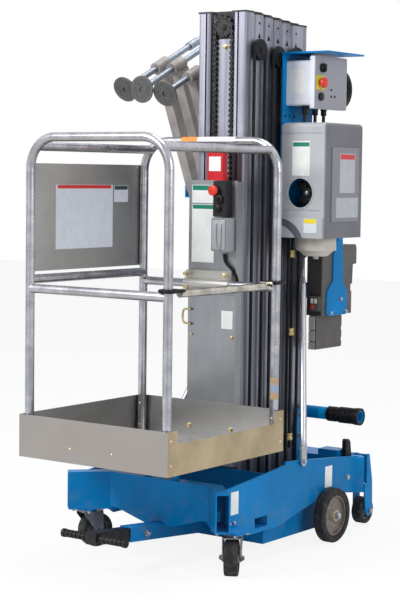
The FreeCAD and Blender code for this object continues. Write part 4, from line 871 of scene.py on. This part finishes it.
# Charger and battery housings: ribbed charcoal plastic that hangs in the blue strap, with
# a dark front, pale rib edges and a small socket plate with three plugs.
housing = Finish("charcoal_housing", roughness=0.5, gloss=0.3)
x, y, z = housing.place()[1:]
cloud = housing.noise(12.0, detail=4.0)
shade = housing.mix(cloud.ramp(0.3, 0.7), (0.080, 0.073, 0.070), (0.105, 0.096, 0.092))
shade = housing.mix((y < 0.4345) * (z > 0.836), shade, (0.042, 0.040, 0.039))
shade = housing.mix((y < 0.4300) * (z < 0.834), shade, (0.42, 0.40, 0.37))
shade = housing.mix((y < 0.4130) * (z > 0.840) * (z < 0.920), shade, (0.10, 0.095, 0.092))
housing.dress(Base_Color=shade, Roughness=0.44 + cloud * 0.12)
housing.bump(housing.noise(600.0), 0.0001, 0.5)
cover_node("battery_housings", housing)
plug_front, plug_back = 0.4075, 0.4123
mesh = bmesh.new()
block(mesh, (0.1635, plug_front, 0.884), (0.1745, plug_back, 0.902), 0.0012)
block(mesh, (0.1790, plug_front, 0.884), (0.1900, plug_back, 0.902), 0.0012)
solid("socket_plugs", mesh, "base", plastic("white_plug", (0.62, 0.60, 0.57), 0.4))
mesh = bmesh.new()
block(mesh, (0.1635, plug_front, 0.862), (0.1745, plug_back, 0.879), 0.0012)
solid("socket_plug_red", mesh, "base", red_button)


# Power unit cover: a deep moulded grey shell with a fine grain, a raised side
# panel and a round hole, whose side and inside are painted darker as shade; blank stickers keep the places of the
# real ones.
shell = Finish("cover_shell", roughness=0.4, gloss=0.3)
x, y, z = shell.place()[1:]
cloud = shell.noise(5.0, detail=4.0)
shade = shell.mix(cloud.ramp(0.3, 0.7), (0.38, 0.39, 0.41), (0.45, 0.46, 0.48))
# painted shade: the side face beyond x = 0.32 is much darker than the front, its raised panel a little lighter
shaded_side = shell.mix(cloud.ramp(0.3, 0.7), (0.125, 0.125, 0.14), (0.155, 0.155, 0.17))
raised = (x > 0.3345) * (y > 0.2665) * (y < 0.4615) * (z > 0.4)
shaded_side = shell.mix(raised * 0.8, shaded_side, (0.23, 0.23, 0.245))
shade = shell.mix(x.ramp(0.3205, 0.3285), shade, shaded_side)
arc_x, arc_z, arc_inner, arc_outer = 0.126, 1.0963, 0.090, 0.116
arc = ((x - arc_x) * (x - arc_x) + (z - arc_z) * (z - arc_z)).root()
shade = shell.mix((arc > arc_inner) * (arc < arc_outer) * (y < 0.232) * (z < 1.2185), shade, (0.13, 0.135, 0.16))
# painted shade inside the shell, behind its front face
inside = (y > 0.236) * (x > 0.150) * (x < 0.3255) * (z < 1.560)
shade = shell.mix(inside, shade, (0.10, 0.10, 0.11))
shell.dress(Base_Color=shade, Roughness=0.34 + cloud * 0.12)
shell.bump(shell.noise(800.0), 0.0001, 0.5)
cover_node("power_cover", shell)
cover_front, cover_lip, cover_side = 0.2297, 0.2227, 0.337
sticker("cover_sticker", (0.186, cover_front, 1.370), (0.076, 0, 0), (0, 0, 0.128), "base",
        bands=((0.84, 0.96, green_band),))
sticker("cover_notice", (0.244, cover_lip, 1.160), (0.056, 0, 0), (0, 0, 0.052), "base", ground=(0.66, 0.68, 0.72),
        bands=((0.68, 0.98, yellow_band),))
sticker("cover_side_sticker", (cover_side, 0.320, 1.308), (0, 0.108, 0), (0, 0, 0.146), "base",
        ground=(0.42, 0.43, 0.46), bands=((0.85, 0.98, red_band),))
sticker("cover_side_plate", (cover_side, 0.297, 1.216), (0, 0.158, 0), (0, 0, 0.074), "base",
        ground=(0.40, 0.41, 0.44))


# Loading wheels: black tyres on dark cores with yellow zinc bosses, on arms behind the
# top of the mast; the tilted machine rolls into a truck on them.
loading_hub = (0, 0.559, 1.703)
for mark in "rl":
    cover_node("loading_wheel_" + mark, wheel_finish("loading_rubber_" + mark, loading_hub, (1, 0, 0), 0.0555,
                                                     (0.05, 0.05, 0.052), 0.0225, (0.58, 0.44, 0.18)))


# Stowed outriggers: tan-painted square beams, zinc jack screws with a full thread and
# ridged cast pads.
tan_coat = Finish("tan_coat", roughness=0.5)
cloud = tan_coat.noise(14.0, detail=5.0)
tan_coat.dress(Base_Color=tan_coat.mix(cloud.ramp(0.3, 0.7), (0.25, 0.225, 0.21), (0.35, 0.32, 0.30)),
               Roughness=0.42 + cloud * 0.16, Metallic=cloud * 0.3)
tan_coat.bump(tan_coat.noise(350.0), 0.00015, 0.5)
cover_node("outrigger_beams", tan_coat)
screw = Finish("jack_screw", roughness=0.3, metallic=1.0)
x, y, z = screw.place()[1:]
lean, thread_pitch = radians(25.0), 0.0042
run = y * cos(lean) + z * sin(lean)
thread = (run * (2 * pi / thread_pitch)).sine() * 0.5 + 0.5
tone = screw.noise(150.0, detail=4.0)
shade = screw.mix(tone.ramp(0.3, 0.7), (0.30, 0.34, 0.40), (0.48, 0.53, 0.60))
# painted shade in the grooves of the thread
shade = screw.mix((1 - thread) * 0.5, shade, (0.10, 0.12, 0.16))
cast, pad_rim = None, 0.0528
for pad_x, pad_y, pad_z, pitch in ((-0.442, 0.021, 1.690, 30), (-0.346, 0.002, 1.687, 8), (-0.249, 0.018, 1.670, 27),
                                   (-0.163, 0.196, 1.722, 25)):
    # cast iron pad: everything within its rim and its low cone
    back = (y - pad_y) * cos(radians(pitch)) + (z - pad_z) * sin(radians(pitch))
    lift = (z - pad_z) * cos(radians(pitch)) - (y - pad_y) * sin(radians(pitch))
    aside = x - pad_x
    pad = (back < 0.0155) * (back > -0.010) * ((aside * aside + lift * lift) < pad_rim * pad_rim)
    cast = pad if cast is None else cast + pad
cast = cast.math("MINIMUM", cast, 1.0)
iron = screw.mix(tone.ramp(0.3, 0.7), (0.075, 0.073, 0.074), (0.125, 0.120, 0.118))
shade = screw.mix(cast, shade, iron)
screw.dress(Base_Color=shade, Roughness=0.30 + tone * 0.2 + cast * 0.2, Metallic=1.0 - cast * 0.75)
screw.bump(thread * (1 - cast) + tone * cast * 0.4, 0.0008, 0.7)
cover_node("outrigger_jacks", screw)
